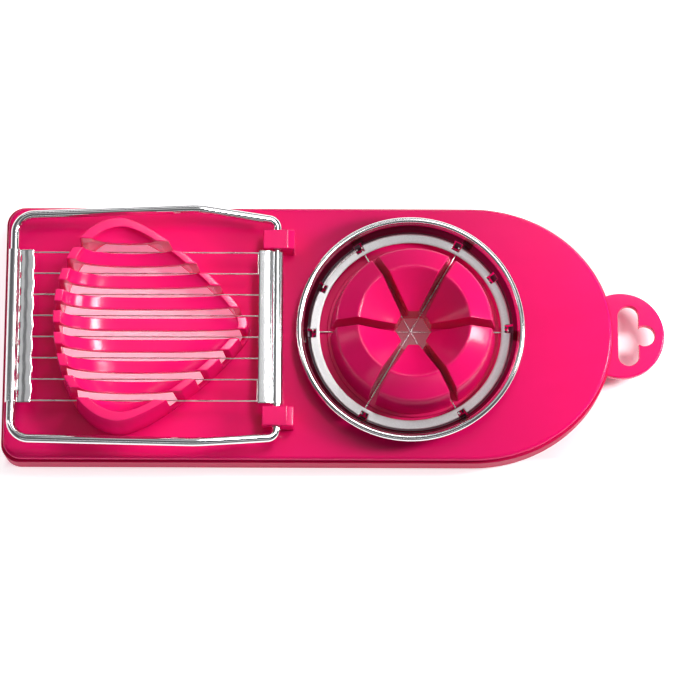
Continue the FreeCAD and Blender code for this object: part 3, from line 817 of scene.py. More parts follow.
@dataclass
class Cradle:
    """The slotted egg cradle: a walled dish with a rim that falls towards its pointed end."""

    finish: bpy.types.Material
    left: float = -89.6 * MM
    apex: float = -68.8 * MM
    tip: float = -28.5 * MM
    half: float = 33.0 * MM
    shoulder: float = 10.8 * MM
    tip_round: float = 6.5 * MM
    left_rise: float = 23.5 * MM
    tip_rise: float = 14.0 * MM
    flare: float = 1.3 * MM
    land: float = 2.7 * MM
    wall: float = 2.2 * MM
    floor_rise: float = 11.5 * MM
    reach: float = 20.0 * MM
    slot: float = 3.0 * MM
    slot_floor: float = 1.7 * MM
    pitch: float = 7.0 * MM
    slots: int = 8
    edge: float = 0.32 * MM
    wall_steps: int = 5
    dish_steps: int = 12
    stations: tuple[float, ...] = (0.0, 0.14, 0.32, 0.5, 0.68, 0.86, 1.0)

    def __post_init__(self) -> None:
        """Work out the heights that the rest is measured from."""
        self.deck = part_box("top_deck")[1].z
        self.middle = (self.left + self.tip) / 2
        self.floor = self.deck + self.floor_rise
        self.dish_scale = 1 - self.land / self.half
        self.floor_scale = 1 - (self.land + self.reach) / self.half
        self.foot_scale = 1 + (self.flare - self.wall) / self.half
        self.inner_scale = 1 - (self.wall - 0.45 * MM) / self.half

    def rim(self, x: float) -> float:
        """The height of the sloping rim at a place along X."""
        share = (x - self.left) / (self.tip - self.left)
        return self.deck + self.left_rise + share * (self.tip_rise - self.left_rise)

    def side(self, y: float, scale: float, to_tip: bool) -> float:
        """Where the scaled outline crosses a line along X.

        Args:
            y: how far the line is from the middle plane.
            scale: the outline's scale.
            to_tip: whether the crossing nearer the tip is wanted.

        Returns:
            The crossing's X.
        """
        across = min(abs(y) / scale / self.half, 1.0)
        if not to_tip:
            x = self.apex - (self.apex - self.left) * math.sqrt(1 - across * across)
            return self.middle + (x - self.middle) * scale
        low, high = 0.0, 1.0
        for _ in range(40):
            share = (low + high) / 2
            rest = 1 - share
            at = rest ** 3 + 3 * share * rest ** 2 + 3 * share ** 2 * rest * self.tip_round / self.half
            low, high = (share, high) if at > across else (low, share)
        rest = 1 - low
        x = (self.apex * rest ** 3 + 3 * (self.apex + self.shoulder) * low * rest ** 2
             + 3 * self.tip * low ** 2 * rest + self.tip * low ** 3)
        return self.middle + (x - self.middle) * scale

    def outer_scale(self, height: float) -> float:
        """The scale of the outer wall at a height, which flares towards the deck."""
        share = (height - self.deck) / (self.left_rise + 1.0 * MM)
        return 1 + self.flare / self.half * (1 - share)

    def outer_wall(self, y: float, to_tip: bool) -> list[Point]:
        """The outer wall's line from the deck up to the rim.

        Args:
            y: the section's place.
            to_tip: which of the two sides is wanted.

        Returns:
            Points from the bottom up.
        """
        top = self.rim(self.side(y, 1.0, to_tip))
        heights = [self.deck + share * (top - self.deck) for share in spread(self.wall_steps)]
        return [(self.side(y, self.outer_scale(z), to_tip), y, z) for z in heights]

    def surface(self, x: float, scale: float, under: bool) -> float:
        """The height of the dish, or of the hollow's roof below it.

        Args:
            x: the place along X.
            scale: the scale of the outline through that place.
            under: whether the hollow's roof is wanted instead of the dish.

        Returns:
            The height.
        """
        thick = self.wall if under else 0.0
        inset = (1 - scale) * self.half + thick
        depth = min(max(1 - (inset - self.land) / self.reach, 0.0), 1.0)
        lift = 1 - math.sqrt(max(0.0, 1 - depth * depth))
        floor = self.floor - thick
        return floor + (self.rim(x) - floor) * lift

    def scales(self, start: float, under: bool) -> list[float]:
        """Outline scales from the dish's edge in to a start, closer together where it is steep.

        Args:
            start: the scale to end at.
            under: whether they are for the hollow's roof.

        Returns:
            The scales in order.
        """
        edge = self.inner_scale if under else self.dish_scale
        low = math.asin(min(1.0, max(0.0, (start - self.floor_scale) / (edge - self.floor_scale))))
        turns = [math.pi / 2 + (low - math.pi / 2) * share for share in spread(self.dish_steps)]
        return [self.floor_scale + (edge - self.floor_scale) * math.sin(turn) for turn in turns]

    def dish_line(self, y: float, to_tip: bool, under: bool) -> list[Point]:
        """Half of the dish's line across a section, from its edge in to its floor.

        Args:
            y: the section's place.
            to_tip: which half is wanted.
            under: whether the hollow's roof is wanted instead of the dish.

        Returns:
            Points from the rim inwards.
        """
        line = []
        for scale in self.scales(abs(y) / self.half, under):
            x = self.side(y, scale, to_tip)
            line.append((x, y, self.surface(x, scale, under)))
        return line

    def rib(self, cut: float, side: int, share: float) -> list[Point]:
        """One closed rib of an end crescent.

        Args:
            cut: how far the crescent's flat face is from the middle plane.
            side: 1 for the rear crescent, or -1.
            share: the rib's place, from -1 at the flat face's left to 1 at its right.

        Returns:
            The rib's points in order.
        """
        to_tip = share > 0

        def across(scale: float) -> float:
            """The rib's place along Y on a scaled outline."""
            return side * (scale * self.half - max(0.0, scale * self.half - cut) * share * share)

        top = self.rim(self.side(across(1.0), 1.0, to_tip))
        rib = []
        for step in spread(self.wall_steps):
            z = self.deck + step * (top - self.deck)
            y = across(self.outer_scale(z))
            rib.append((self.side(y, self.outer_scale(z), to_tip), y, z))
        for scale in self.scales(cut / self.half, False):
            y = across(scale)
            x = self.side(y, scale, to_tip)
            rib.append((x, y, self.surface(x, scale, False)))
        for scale in reversed(self.scales(cut / self.half, True)):
            y = across(scale)
            x = self.side(y, scale, to_tip)
            rib.append((x, y, self.surface(x, scale, True)))
        foot = across(self.foot_scale)
        rib.append((self.side(foot, self.foot_scale, to_tip), foot, self.deck))
        return rib

    def crescent(self, side: int, cut: float) -> bpy.types.Object:
        """One of the two end crescents, beyond the outermost slots.

        Args:
            side: 1 for the rear crescent, or -1.
            cut: how far its flat face is from the middle plane.

        Returns:
            The crescent.
        """
        rows = [self.rib(cut, side, 2 * share - 1) for share in spread(57)]
        points, faces = skin(rows, True, False)
        wide = len(rows[0])
        faces.append(tuple(range(wide)))
        faces.append(tuple((len(rows) - 1) * wide + j for j in range(wide)))
        return new_piece(f"end_{side}", points, faces)

    def section(self, y: float) -> list[Point]:
        """The cradle's closed section at one place along Y.

        Args:
            y: the place.

        Returns:
            The section's points in order.
        """
        left = self.outer_wall(y, False)
        right = self.outer_wall(y, True)
        top = self.dish_line(y, False, False) + self.dish_line(y, True, False)[::-1]
        under_left = self.dish_line(y, False, True)
        under_right = self.dish_line(y, True, True)
        foot_left = (self.side(y, self.foot_scale, False), y, self.deck)
        foot_right = (self.side(y, self.foot_scale, True), y, self.deck)
        return left + top + right[::-1] + [foot_right] + under_right + under_left[::-1] + [foot_left]

    def strip(self, name: str, near: float, far: float) -> bpy.types.Object:
        """One strip of the cradle between two slots, standing above the slots' floor.

        Args:
            name: a name for the strip.
            near: where the strip starts along Y.
            far: where it ends.

        Returns:
            The strip.
        """
        rows = [self.section(near + (far - near) * share) for share in self.stations]
        return new_piece(name, *skin(rows, True, False, cap_ends=True))

    def footing(self) -> bpy.types.Object:
        """The low ring that joins the strips below the slots' floor."""
        top = self.deck + self.slot_floor
        rows = []
        thick = self.wall / self.half
        for scale, z in ((self.outer_scale(self.deck), self.deck), (self.outer_scale(top), top),
                         (self.outer_scale(top) - thick, top), (self.foot_scale, self.deck)):
            rows.append([(x, y, z) for x, y in self.loop(scale, 120)])
        return new_piece("footing", *skin(rows, True, True))

    def loop(self, scale: float, count: int) -> list[tuple[float, float]]:
        """Points round the scaled outline.

        Args:
            scale: the outline's scale.
            count: how many points each side of the middle plane has.

        Returns:
            The points in order.
        """
        turns = [math.pi * (k + 0.5) / count for k in range(count)]
        left = [(self.side(self.half * scale * math.cos(a), scale, False), self.half * scale * math.cos(a))
                for a in turns]
        right = [(self.side(self.half * scale * math.cos(a), scale, True), self.half * scale * math.cos(a))
                 for a in turns]
        return left + right[::-1]

    def build(self) -> bpy.types.Object:
        """Build and dress the whole cradle."""
        low = -(self.slots - 1) / 2 * self.pitch
        half_slot = self.slot / 2
        strips = []
        for k in range(self.slots - 1):
            near = low + k * self.pitch + half_slot
            strips.append(self.strip(f"strip_{k}", near, near + self.pitch - self.slot))
        for side in (-1, 1):
            strips.append(self.crescent(side, -low + half_slot))
        strips.append(self.footing())
        for part in strips:
            round_edges(part, self.edge)
        cradle = joined("egg_cradle", strips)
        settle(cradle)
        return dress(cradle, Body.BOARD, self.finish, ["slicing_cradle"])


# ------------------------------------------------------------------ wedge cup


@dataclass
class WedgeCup:
    """The six-petal cup that an egg stands in to be cut into wedges."""

    finish: bpy.types.Material
    petals: int = 6
    slot: float = 2.5 * MM
    throat: float = 5.5 * MM
    plinth_radius: float = 28.0 * MM
    plinth: float = 0.8 * MM
    edge: float = 0.30 * MM
    across: int = 15
    outside: tuple[tuple[float, float], ...] = (
        (27.0, 0.8), (26.6, 4.0), (25.9, 8.5), (25.35, 12.2), (25.1, 13.5), (24.85, 13.95), (24.4, 14.35),
        (21.6, 16.2), (18.9, 17.95), (18.4, 18.2), (18.0, 18.3), (17.6, 18.1), (17.1, 17.65),
        (15.2, 15.9), (13.0, 13.9), (10.8, 12.0), (8.8, 10.4), (7.2, 9.25))
    throat_rise: float = 8.0 * MM

    def __post_init__(self) -> None:
        """Find the cup's middle and the deck."""
        self.centre = middle_of("wedge_cup")
        self.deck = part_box("top_deck")[1].z

    def petal(self, number: int) -> bpy.types.Object:
        """One petal, from its outer foot over the ridge and down the bowl to the throat.

        Args:
            number: which petal it is, counted round.

        Returns:
            The petal.
        """
        half_sector = math.pi / self.petals
        facing = half_sector * (2 * number + 1)
        foot = self.deck + self.plinth
        stations = [(r * MM, self.deck + z * MM) for r, z in self.outside]
        stations += [(self.throat, self.deck + self.throat_rise), (self.throat, foot)]
        rows = []
        for k, (radius, z) in enumerate(stations):
            row = []
            at_throat = k >= len(self.outside)
            lean = half_sector - math.asin(min(self.slot / 2 / radius, 1.0))
            for share in spread(self.across):
                turn = (2 * share - 1) * lean
                reach = radius
                if at_throat:
                    sideways = (self.throat * math.tan(half_sector) - self.slot / 2 / math.cos(half_sector))
                    turn = math.atan2((2 * share - 1) * sideways, self.throat)
                    reach = self.throat / math.cos(turn)
                angle = facing + turn
                row.append((self.centre.x + reach * math.cos(angle),
                            self.centre.y + reach * math.sin(angle), z))
            rows.append(row)
        points, faces = skin(rows, False, True)
        wide = self.across
        faces.append(tuple(i * wide for i in range(len(rows))))
        faces.append(tuple(i * wide + wide - 1 for i in range(len(rows))))
        piece = new_piece(f"petal_{number}", points, faces)
        round_edges(piece, self.edge)
        return piece

    def base(self) -> bpy.types.Object:
        """The low round plinth that the petals stand on, open through the hexagon."""
        count = 144
        corner = self.throat / math.cos(math.pi / 6)
        rows = []
        soft = 0.25 * MM
        top = self.deck + self.plinth
        for radius, z in ((self.plinth_radius, self.deck), (self.plinth_radius, top - soft),
                          (self.plinth_radius - soft, top)):
            rows.append([(self.centre.x + radius * math.cos(2 * math.pi * k / count),
                          self.centre.y + radius * math.sin(2 * math.pi * k / count), z)
                         for k in range(count)])
        for z in (top, self.deck):
            rows.append([(self.centre.x + r * math.cos(a), self.centre.y + r * math.sin(a), z)
                         for r, a in self.hexagon(count, corner)])
        return new_piece("cup_base", *skin(rows, True, True))

    def hexagon(self, count: int, corner: float) -> list[tuple[float, float]]:
        """Radius and angle of points round the throat, its corners in line with the slots.

        Args:
            count: how many points there are.
            corner: the radius at the corners.

        Returns:
            The radius and angle of each point.
        """
        points = []
        for k in range(count):
            angle = 2 * math.pi * k / count
            in_sector = angle % (math.pi / 3) - math.pi / 6
            points.append((corner * math.cos(math.pi / 6) / math.cos(in_sector), angle))
        return points

    def throat_outline(self) -> list[tuple[float, float]]:
        """The six corners of the throat, as X and Y."""
        corner = self.throat / math.cos(math.pi / 6)
        return [(self.centre.x + corner * math.cos(math.pi / 3 * k),
                 self.centre.y + corner * math.sin(math.pi / 3 * k)) for k in range(6)]

    def build(self) -> bpy.types.Object:
        """Build and dress the whole cup."""
        parts = [self.petal(k) for k in range(self.petals)]
        parts.append(self.base())
        cup = joined("petal_cup", parts)
        settle(cup)
        return dress(cup, Body.BOARD, self.finish, ["wedge_cup"])


# ------------------------------------------------------------------ hinge hooks


@dataclass
class HingeHooks:
    """The two moulded hooks that hold the frame's hinge rod."""

    finish: bpy.types.Material
    hinge_x: float = -18.6 * MM
    rod_radius: float = 1.48 * MM
    mouth_drop: float = 1.1 * MM
    hinge_rise: float = 6.6 * MM
    shoulder: float = 2.1 * MM
    shoulder_drop: float = 0.9 * MM
    edge: float = 0.40 * MM

    def profile(self, node: str) -> list[tuple[float, float]]:
        """The hook's outline in the upright plane along the board.

        Args:
            node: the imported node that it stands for.

        Returns:
            X and Z of each corner.
        """
        low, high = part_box(node)
        hinge_z = low.z + self.hinge_rise
        mouth = hinge_z - self.mouth_drop
        start = math.asin(self.mouth_drop / self.rod_radius)
        outline = [(high.x, low.z), (high.x, high.z - self.shoulder_drop), (high.x - self.shoulder, high.z),
                   (low.x, high.z), (low.x, mouth)]
        sweep = 1.5 * math.pi + start
        for k in range(25):
            angle = math.pi + start - k / 24 * sweep
            outline.append((self.hinge_x + self.rod_radius * math.cos(angle),
                            hinge_z + self.rod_radius * math.sin(angle)))
        outline.append((self.hinge_x, low.z))
        return outline

    def build(self) -> None:
        """Build and dress both hooks."""
        for node in ("hinge_hook_rear", "hinge_hook_front"):
            low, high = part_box(node)
            outline = self.profile(node)
            rows = [[(x, y, z) for x, z in outline] for y in (low.y, high.y)]
            hook = new_piece(node.replace("hinge_hook", "hook"), *skin(rows, True, False, cap_ends=True))
            round_edges(hook, self.edge, 3, 20.0)
            dress(hook, Body.BOARD, self.finish, [node])


# ------------------------------------------------------------------ wire frame


@dataclass
class WireFrame:
    """The swinging frame: its bent rod, the two rolled plates and the laced cutting wires."""

    rod_finish: bpy.types.Material
    plate_finish: bpy.types.Material
    wire_finish: bpy.types.Material
    rod_radius: float = 1.4 * MM
    hinge_x: float = -18.6 * MM
    hinge_rise: float = 6.6 * MM
    far_x: float = -103.8 * MM
    far_half: float = 36.8 * MM
    far_rise: float = 9.3 * MM
    bend_x: float = -44.0 * MM
    bend_half: float = 38.5 * MM
    bend_rise: float = 12.0 * MM
    hinge_half: float = 35.9 * MM
    corners: tuple[float, float, float] = (6.0 * MM, 22.0 * MM, 3.1 * MM)
    sheet: float = 0.55 * MM
    wires: int = 8
    pitch: float = 7.0 * MM
    wire_radius: float = 0.23 * MM
    roll_steps: int = 36
    slits: int = 9
    slit_pitch: float = 5.6 * MM
    slit_length: float = 2.0 * MM
    slit_faces: tuple[int, ...] = (36,)

    def __post_init__(self) -> None:
        """Find the deck and the height of the wires."""
        self.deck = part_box("top_deck")[1].z
        self.wire_z = middle_of("slicing_wire_1").z

    def rod(self) -> bpy.types.Object:
        """The closed rod, cranked over the cradle and down to its hinge."""
        far_z = self.deck + self.far_rise
        bend_z = self.deck + self.bend_rise
        hinge_z = self.deck + self.hinge_rise
        corners = [
            Vector((self.far_x, 0, far_z)), Vector((self.far_x, self.far_half, far_z)),
            Vector((self.bend_x, self.bend_half, bend_z)), Vector((self.hinge_x, self.hinge_half, hinge_z)),
            Vector((self.hinge_x, -self.hinge_half, hinge_z)), Vector((self.bend_x, -self.bend_half, bend_z)),
            Vector((self.far_x, -self.far_half, far_z)), Vector((self.far_x, 0, far_z))]
        radii = [*self.corners, *self.corners[::-1]]
        path = arc_path(corners, radii, 0.35 * MM)[:-1]
        return tube("frame_loop", path, self.rod_radius * 0.995, 40, closed=True)

    def wire_places(self) -> list[float]:
        """The Y places of the cutting wires."""
        return [(k - (self.wires - 1) / 2) * self.pitch for k in range(self.wires)]

    def plate_rows(self, node: str, rod: Vector, toward: int, wave: float) -> list[list[Point]]:
        """The middle surface of a plate: rolled round the rod, then a tongue to the wires.

        Args:
            node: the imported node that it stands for.
            rod: the rod's middle.
            toward: 1 if the tongue points to +X, or -1.
            wave: how far the tongue's edge dips between the wires.

        Returns:
            Rows of points, one row for each place along Y.
        """
        low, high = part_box(node)
        edge = high.x if toward > 0 else low.x
        roll = self.rod_radius + self.sheet / 2 + 0.03 * MM
        top = self.wire_z + 0.6 * MM - self.sheet / 2
        rise = top - rod.z
        rows = []
        count = 141
        for i in range(count):
            y = low.y + (high.y - low.y) * i / (count - 1)
            dip = wave * (0.5 - 0.5 * math.cos(2 * math.pi * y / self.pitch))
            row = []
            last = math.radians(-205.0)
            first = math.acos(rise / roll) if rise < roll else math.radians(38.0)
            for share in spread(self.roll_steps + 1):
                angle = last + (first - last) * share
                row.append((rod.x + toward * roll * math.sin(angle), y, rod.z + roll * math.cos(angle)))
            start = row[-1]
            reach = edge - toward * dip
            lift = min(0.0, start[2] - top)
            for share in (0.12, 0.25, 0.4, 0.55, 0.7, 0.85, 0.96, 1.0):
                x = start[0] + (reach - start[0]) * share
                bead = 0.16 * MM * math.exp(-((share - 0.33) / 0.09) ** 2)
                row.append((x, y, top + lift * max(0.0, 1 - share * 3) ** 2 - bead))
            row.append((reach, y, top - 0.62 * MM))
            rows.append(row)
        return rows

    def plate(self, name: str, node: str, rod: Vector, toward: int, wave: float) -> bpy.types.Object:
        """A plate with real thickness.

        Args:
            name: the piece's name.
            node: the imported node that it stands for.
            rod: the rod's middle.
            toward: 1 if the tongue points to +X, or -1.
            wave: how far the tongue's edge dips between the wires.

        Returns:
            The plate.
        """
        rows = self.plate_rows(node, rod, toward, wave)
        points, faces = skin(rows, False, False)
        wide = len(rows[0])
        kept = [f for f in faces if not self.is_slit(rows, f[0] // wide, f[0] % wide, toward)]
        piece = new_piece(name, points, kept)
        thick = piece.modifiers.new("sheet", "SOLIDIFY")
        thick.thickness = self.sheet
        thick.offset = 0.0
        round_edges(piece, 0.10 * MM, 2, 50.0)
        return dress(piece, Body.FRAME, self.plate_finish, [node])

    def is_slit(self, rows: list[list[Point]], i: int, j: int, toward: int) -> bool:
        """Whether a face lies in one of the short slits at the root of the far plate's tongue.

        Args:
            rows: the plate's rows of points.
            i: the face's row.
            j: the face's place along the row.
            toward: 1 for the far plate, or -1.

        Returns:
            True for a face that is left out.
        """
        if toward < 0 or j not in self.slit_faces:
            return False
        y = (rows[i][j][1] + rows[min(i + 1, len(rows) - 1)][j][1]) / 2
        places = [(k - (self.slits - 1) / 2) * self.slit_pitch for k in range(self.slits)]
        return min(abs(y - place) for place in places) < self.slit_length / 2

    def cutting_wire(self, number: int, y: float) -> bpy.types.Object:
        """One taut wire between the plates' edges.

        Args:
            number: the wire's number.
            y: its place.

        Returns:
            The wire.
        """
        node = f"slicing_wire_{number}"
        low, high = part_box(node)
        ends = (Vector((low.x, y, self.wire_z)), Vector((high.x, y, self.wire_z)))
        path = [ends[0].lerp(ends[1], share) for share in spread(24)]
        wire = tube(f"cutting_wire_{number}", path, self.wire_radius, 12)
        return dress(wire, Body.FRAME, self.wire_finish, [node])

    def lacing(self) -> bpy.types.Object:
        """The bowed stretches that carry the wires over to each other at the plates."""
        low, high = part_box("slicing_wire_returns")
        places = self.wire_places()
        bow = high.x - low.x - 2 * self.wire_radius
        parts = []
        for k, first in enumerate((places[0], places[-2])):
            start = Vector((high.x, first, low.z + self.wire_radius))
            end = Vector((high.x, first + self.pitch, low.z + self.wire_radius))
            path = []
            for share in spread(17):
                point = start.lerp(end, share)
                point.x = high.x - self.wire_radius - bow * math.sin(math.pi * share)
                path.append(point)
            parts.append(tube(f"lace_{k}", path, self.wire_radius * 0.99, 12))
        lace = joined("wire_lacing", parts)
        settle(lace, 50.0)
        return dress(lace, Body.FRAME, self.wire_finish, ["slicing_wire_returns"])

    def build(self) -> None:
        """Build and dress the whole frame."""
        dress(self.rod(), Body.FRAME, self.rod_finish, ["frame_rod"])
        far = Vector((self.far_x, 0, self.deck + self.far_rise))
        near = Vector((self.hinge_x, 0, self.deck + self.hinge_rise))
        self.plate("far_plate", "far_wire_plate", far, 1, 0.45 * MM)
        self.plate("near_plate", "hinge_wire_plate", near, -1, 0.0)
        for number, y in enumerate(self.wire_places(), start=1):
            self.cutting_wire(number, y)
        self.lacing()


# ------------------------------------------------------------------ wedging ring


@dataclass
class WedgingRing:
    """The loose ring: a pressed band with a rolled bead, and three wires crossing it."""

    band_finish: bpy.types.Material
    wire_finish: bpy.types.Material
    lip_finish: bpy.types.Material
    outer_lip: tuple[tuple[float, float], ...] = (
        (33.55 * MM, 0.12 * MM), (33.1 * MM, 0.45 * MM), (32.6 * MM, 0.85 * MM), (32.05 * MM, 1.30 * MM))
    inner_lip: tuple[tuple[float, float], ...] = (
        (30.72 * MM, 0.05 * MM), (30.95 * MM, 0.45 * MM), (31.2 * MM, 0.85 * MM), (31.5 * MM, 1.25 * MM))
    lip_sheet: float = 0.25 * MM
    wire_way: float = 0.38 * MM
    flange_inner: float = 29.5 * MM
    wall_foot: float = 32.4 * MM
    wall_head: float = 35.1 * MM
    sheet: float = 0.5 * MM
    bead_radius: float = 1.15 * MM
    notch: float = 2.3 * MM
    notch_turn: float = 1.5
    lacing_turns: tuple[float, float] = (32.0, 152.0)
    wire_radius: float = 0.22 * MM
    steps: int = 360

    def __post_init__(self) -> None:
        """Find the ring's middle and its heights."""
        low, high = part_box("ring_band")
        self.centre = (low + high) / 2
        self.floor = low.z
        self.bead_z = high.z - self.bead_radius

    def profile(self) -> list[tuple[float, float]]:
        """The middle line of the band's section, from the flange's lip to the bead's foot."""
        z = self.floor + self.sheet / 2
        foot = self.wall_foot + self.sheet / 2
        head = self.wall_head + self.sheet / 2
        line = [(self.flange_inner + 0.02 * MM, z), (self.flange_inner + 0.9 * MM, z),
                (self.wall_foot - self.notch * 0.75, z), (foot - 0.5 * MM, z),
                (foot - 0.12 * MM, z + 0.1 * MM),
                (foot + 0.12 * MM, z + 0.5 * MM)]
        rise = self.bead_z - line[-1][1]
        for share, out in ((0.18, 0.14), (0.36, 0.30), (0.45, 0.36), (0.50, 0.50), (0.56, 0.56), (0.75, 0.74),
                           (1.0, 1.0)):
            line.append((line[5][0] + (head - line[5][0]) * out, line[5][1] + rise * share))
        return line

    def notch_angles(self) -> list[float]:
        """The turns of the notches, in degrees."""
        return [turn + self.notch_turn for turn in (*(60.0 * k for k in range(6)), *self.lacing_turns)]

    def in_notch(self, angle: float, station: int) -> bool:
        """Whether a face of the band falls in a notch at the foot of the wall.

        Args:
            angle: the face's turn, in degrees.
            station: the face's place along the profile.

        Returns:
            True for a face that is left out.
        """
        half = math.degrees(self.notch / 2 / self.wall_foot)
        near = min(abs((angle - turn + 180) % 360 - 180) for turn in self.notch_angles())
        return near < half and 2 <= station <= 6

    def band(self) -> bpy.types.Object:
        """The pressed band with its notches cut out and its head rolled into a bead."""
        profile = self.profile()
        rows = []
        for k in range(self.steps):
            angle = 2 * math.pi * k / self.steps
            rows.append([(self.centre.x + r * math.cos(angle), self.centre.y + r * math.sin(angle), z)
                         for r, z in profile])
        points, faces = skin(rows, False, True)
        wide = len(profile)
        kept = [f for f in faces
                if not self.in_notch((f[0] // wide + 0.5) * 360 / self.steps, f[0] % wide)]
        sheet = new_piece("band_sheet", points, kept)
        thick = sheet.modifiers.new("sheet", "SOLIDIFY")
        thick.thickness = self.sheet
        thick.offset = 0.0
        round_edges(sheet, 0.08 * MM, 2, 50.0)
        middle = self.wall_head + self.bead_radius - self.sheet / 2
        loop = [Vector((self.centre.x + middle * math.cos(2 * math.pi * k / self.steps),
                        self.centre.y + middle * math.sin(2 * math.pi * k / self.steps), self.bead_z))
                for k in range(self.steps)]
        bead = tube("bead", loop, self.bead_radius * 0.995, 32, closed=True)
        band = joined("ring_sheet_band", [sheet, bead])
        settle(band, 40.0)
        return dress(band, Body.RING, self.band_finish, ["ring_band"])

    def lip(self, turn: float, section: Sequence[tuple[float, float]], near: float,
            far: float) -> bpy.types.Object:
        """A strip of the sheet cut from one notch, bent down below the band.

        Args:
            turn: the notch's turn, in degrees.
            section: the strip's reach from the ring's axis and its drop, point by point.
            near: where its width begins, to the side of the notch's middle.
            far: where its width ends.

        Returns:
            The strip.
        """
        angle = math.radians(turn)
        ahead = Vector((math.cos(angle), math.sin(angle), 0))
        aside = Vector((-math.sin(angle), math.cos(angle), 0))
        base = Vector((self.centre.x, self.centre.y, self.floor))
        rows = []
        for reach, drop in section:
            middle = base + ahead * reach - Vector((0, 0, drop))
            rows.append([tuple(middle + aside * (near + (far - near) * share)) for share in spread(4)])
        strip = new_piece("lip", *skin(rows, False, True))
        thick = strip.modifiers.new("sheet", "SOLIDIFY")
        thick.thickness = self.lip_sheet
        thick.offset = 0.0
        apply_modifiers(strip)
        return strip

    def lips(self) -> bpy.types.Object:
        """The bent lips of all the notches, as one piece."""
        half = self.notch / 2 * 0.92
        strips = []
        for turn in self.notch_angles():
            strips.append(self.lip(turn, self.outer_lip, -half, half))
            strips.append(self.lip(turn, self.inner_lip, -half, -self.wire_way))
            strips.append(self.lip(turn, self.inner_lip, self.wire_way, half))
        lips = joined("notch_lips", strips)
        settle(lips)
        # Their finish is painted near black as painted shade in the notches.
        return dress(lips, Body.RING, self.lip_finish)

    def crossing_wire(self, number: int) -> bpy.types.Object:
        """One wire across the ring, its ends turned up through the notches.

        Args:
            number: which wire it is, from 0.

        Returns:
            The wire.
        """
        node = f"wedge_wire_{number + 1}"
        low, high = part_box(node)
        z = low.z + self.wire_radius
        top = high.z
        end = self.wall_foot - 0.7 * MM
        turn = math.radians(60 * number)
        ahead = Vector((math.cos(turn), math.sin(turn), 0))
        base = Vector((self.centre.x, 0, 0))
        corners = [base - ahead * end + Vector((0, 0, top)), base - ahead * end + Vector((0, 0, z)),
                   base + ahead * end + Vector((0, 0, z)), base + ahead * end + Vector((0, 0, top))]
        path = arc_path(corners, [0.66 * MM, 0.66 * MM], 0.1 * MM)
        wire = tube(f"crossing_wire_{number + 1}", path, self.wire_radius, 12)
        return dress(wire, Body.RING, self.wire_finish, [node])

    def lacing(self) -> bpy.types.Object:
        """The stretch of wire that runs round inside the wall between two notches."""
        low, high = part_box("wedge_wire_lacing")
        z = (low.z + high.z) / 2
        reach = self.wall_foot - self.wire_radius - 0.25 * MM
        path = []
        for share in spread(40):
            turn = math.radians(121.0 + self.notch_turn + 31.0 * share)
            path.append(Vector((self.centre.x + reach * math.cos(turn), reach * math.sin(turn), z)))
        lace = tube("ring_lacing", path, self.wire_radius * 0.98, 12)
        return dress(lace, Body.RING, self.wire_finish, ["wedge_wire_lacing"])

    def build(self) -> None:
        """Build and dress the whole ring."""
        self.band()
        self.lips()
        for number in range(3):
            self.crossing_wire(number)
        self.lacing()


# ------------------------------------------------------------------ studio


@dataclass(frozen=True)
class Softbox:
    """One rectangular light: its place, the point it faces, its size, its watts and its beam in degrees."""

    name: str
    place: Point
    aim: Point
    size: tuple[float, float]
    power: float
    spread: float = 180.0

    def place_lamp(self) -> None:
        """Hang the light in the scene."""
        light = bpy.data.lights.new(self.name, "AREA")
        light.shape = "RECTANGLE"
        light.spread = math.radians(self.spread)
        light.size, light.size_y = self.size
        light.energy = self.power
        lamp = bpy.data.objects.new(self.name, light)
        lamp.location = self.place
        lamp.rotation_euler = (Vector(self.aim) - Vector(self.place)).to_track_quat("-Z", "Y").to_euler()
        bpy.context.scene.collection.objects.link(lamp)


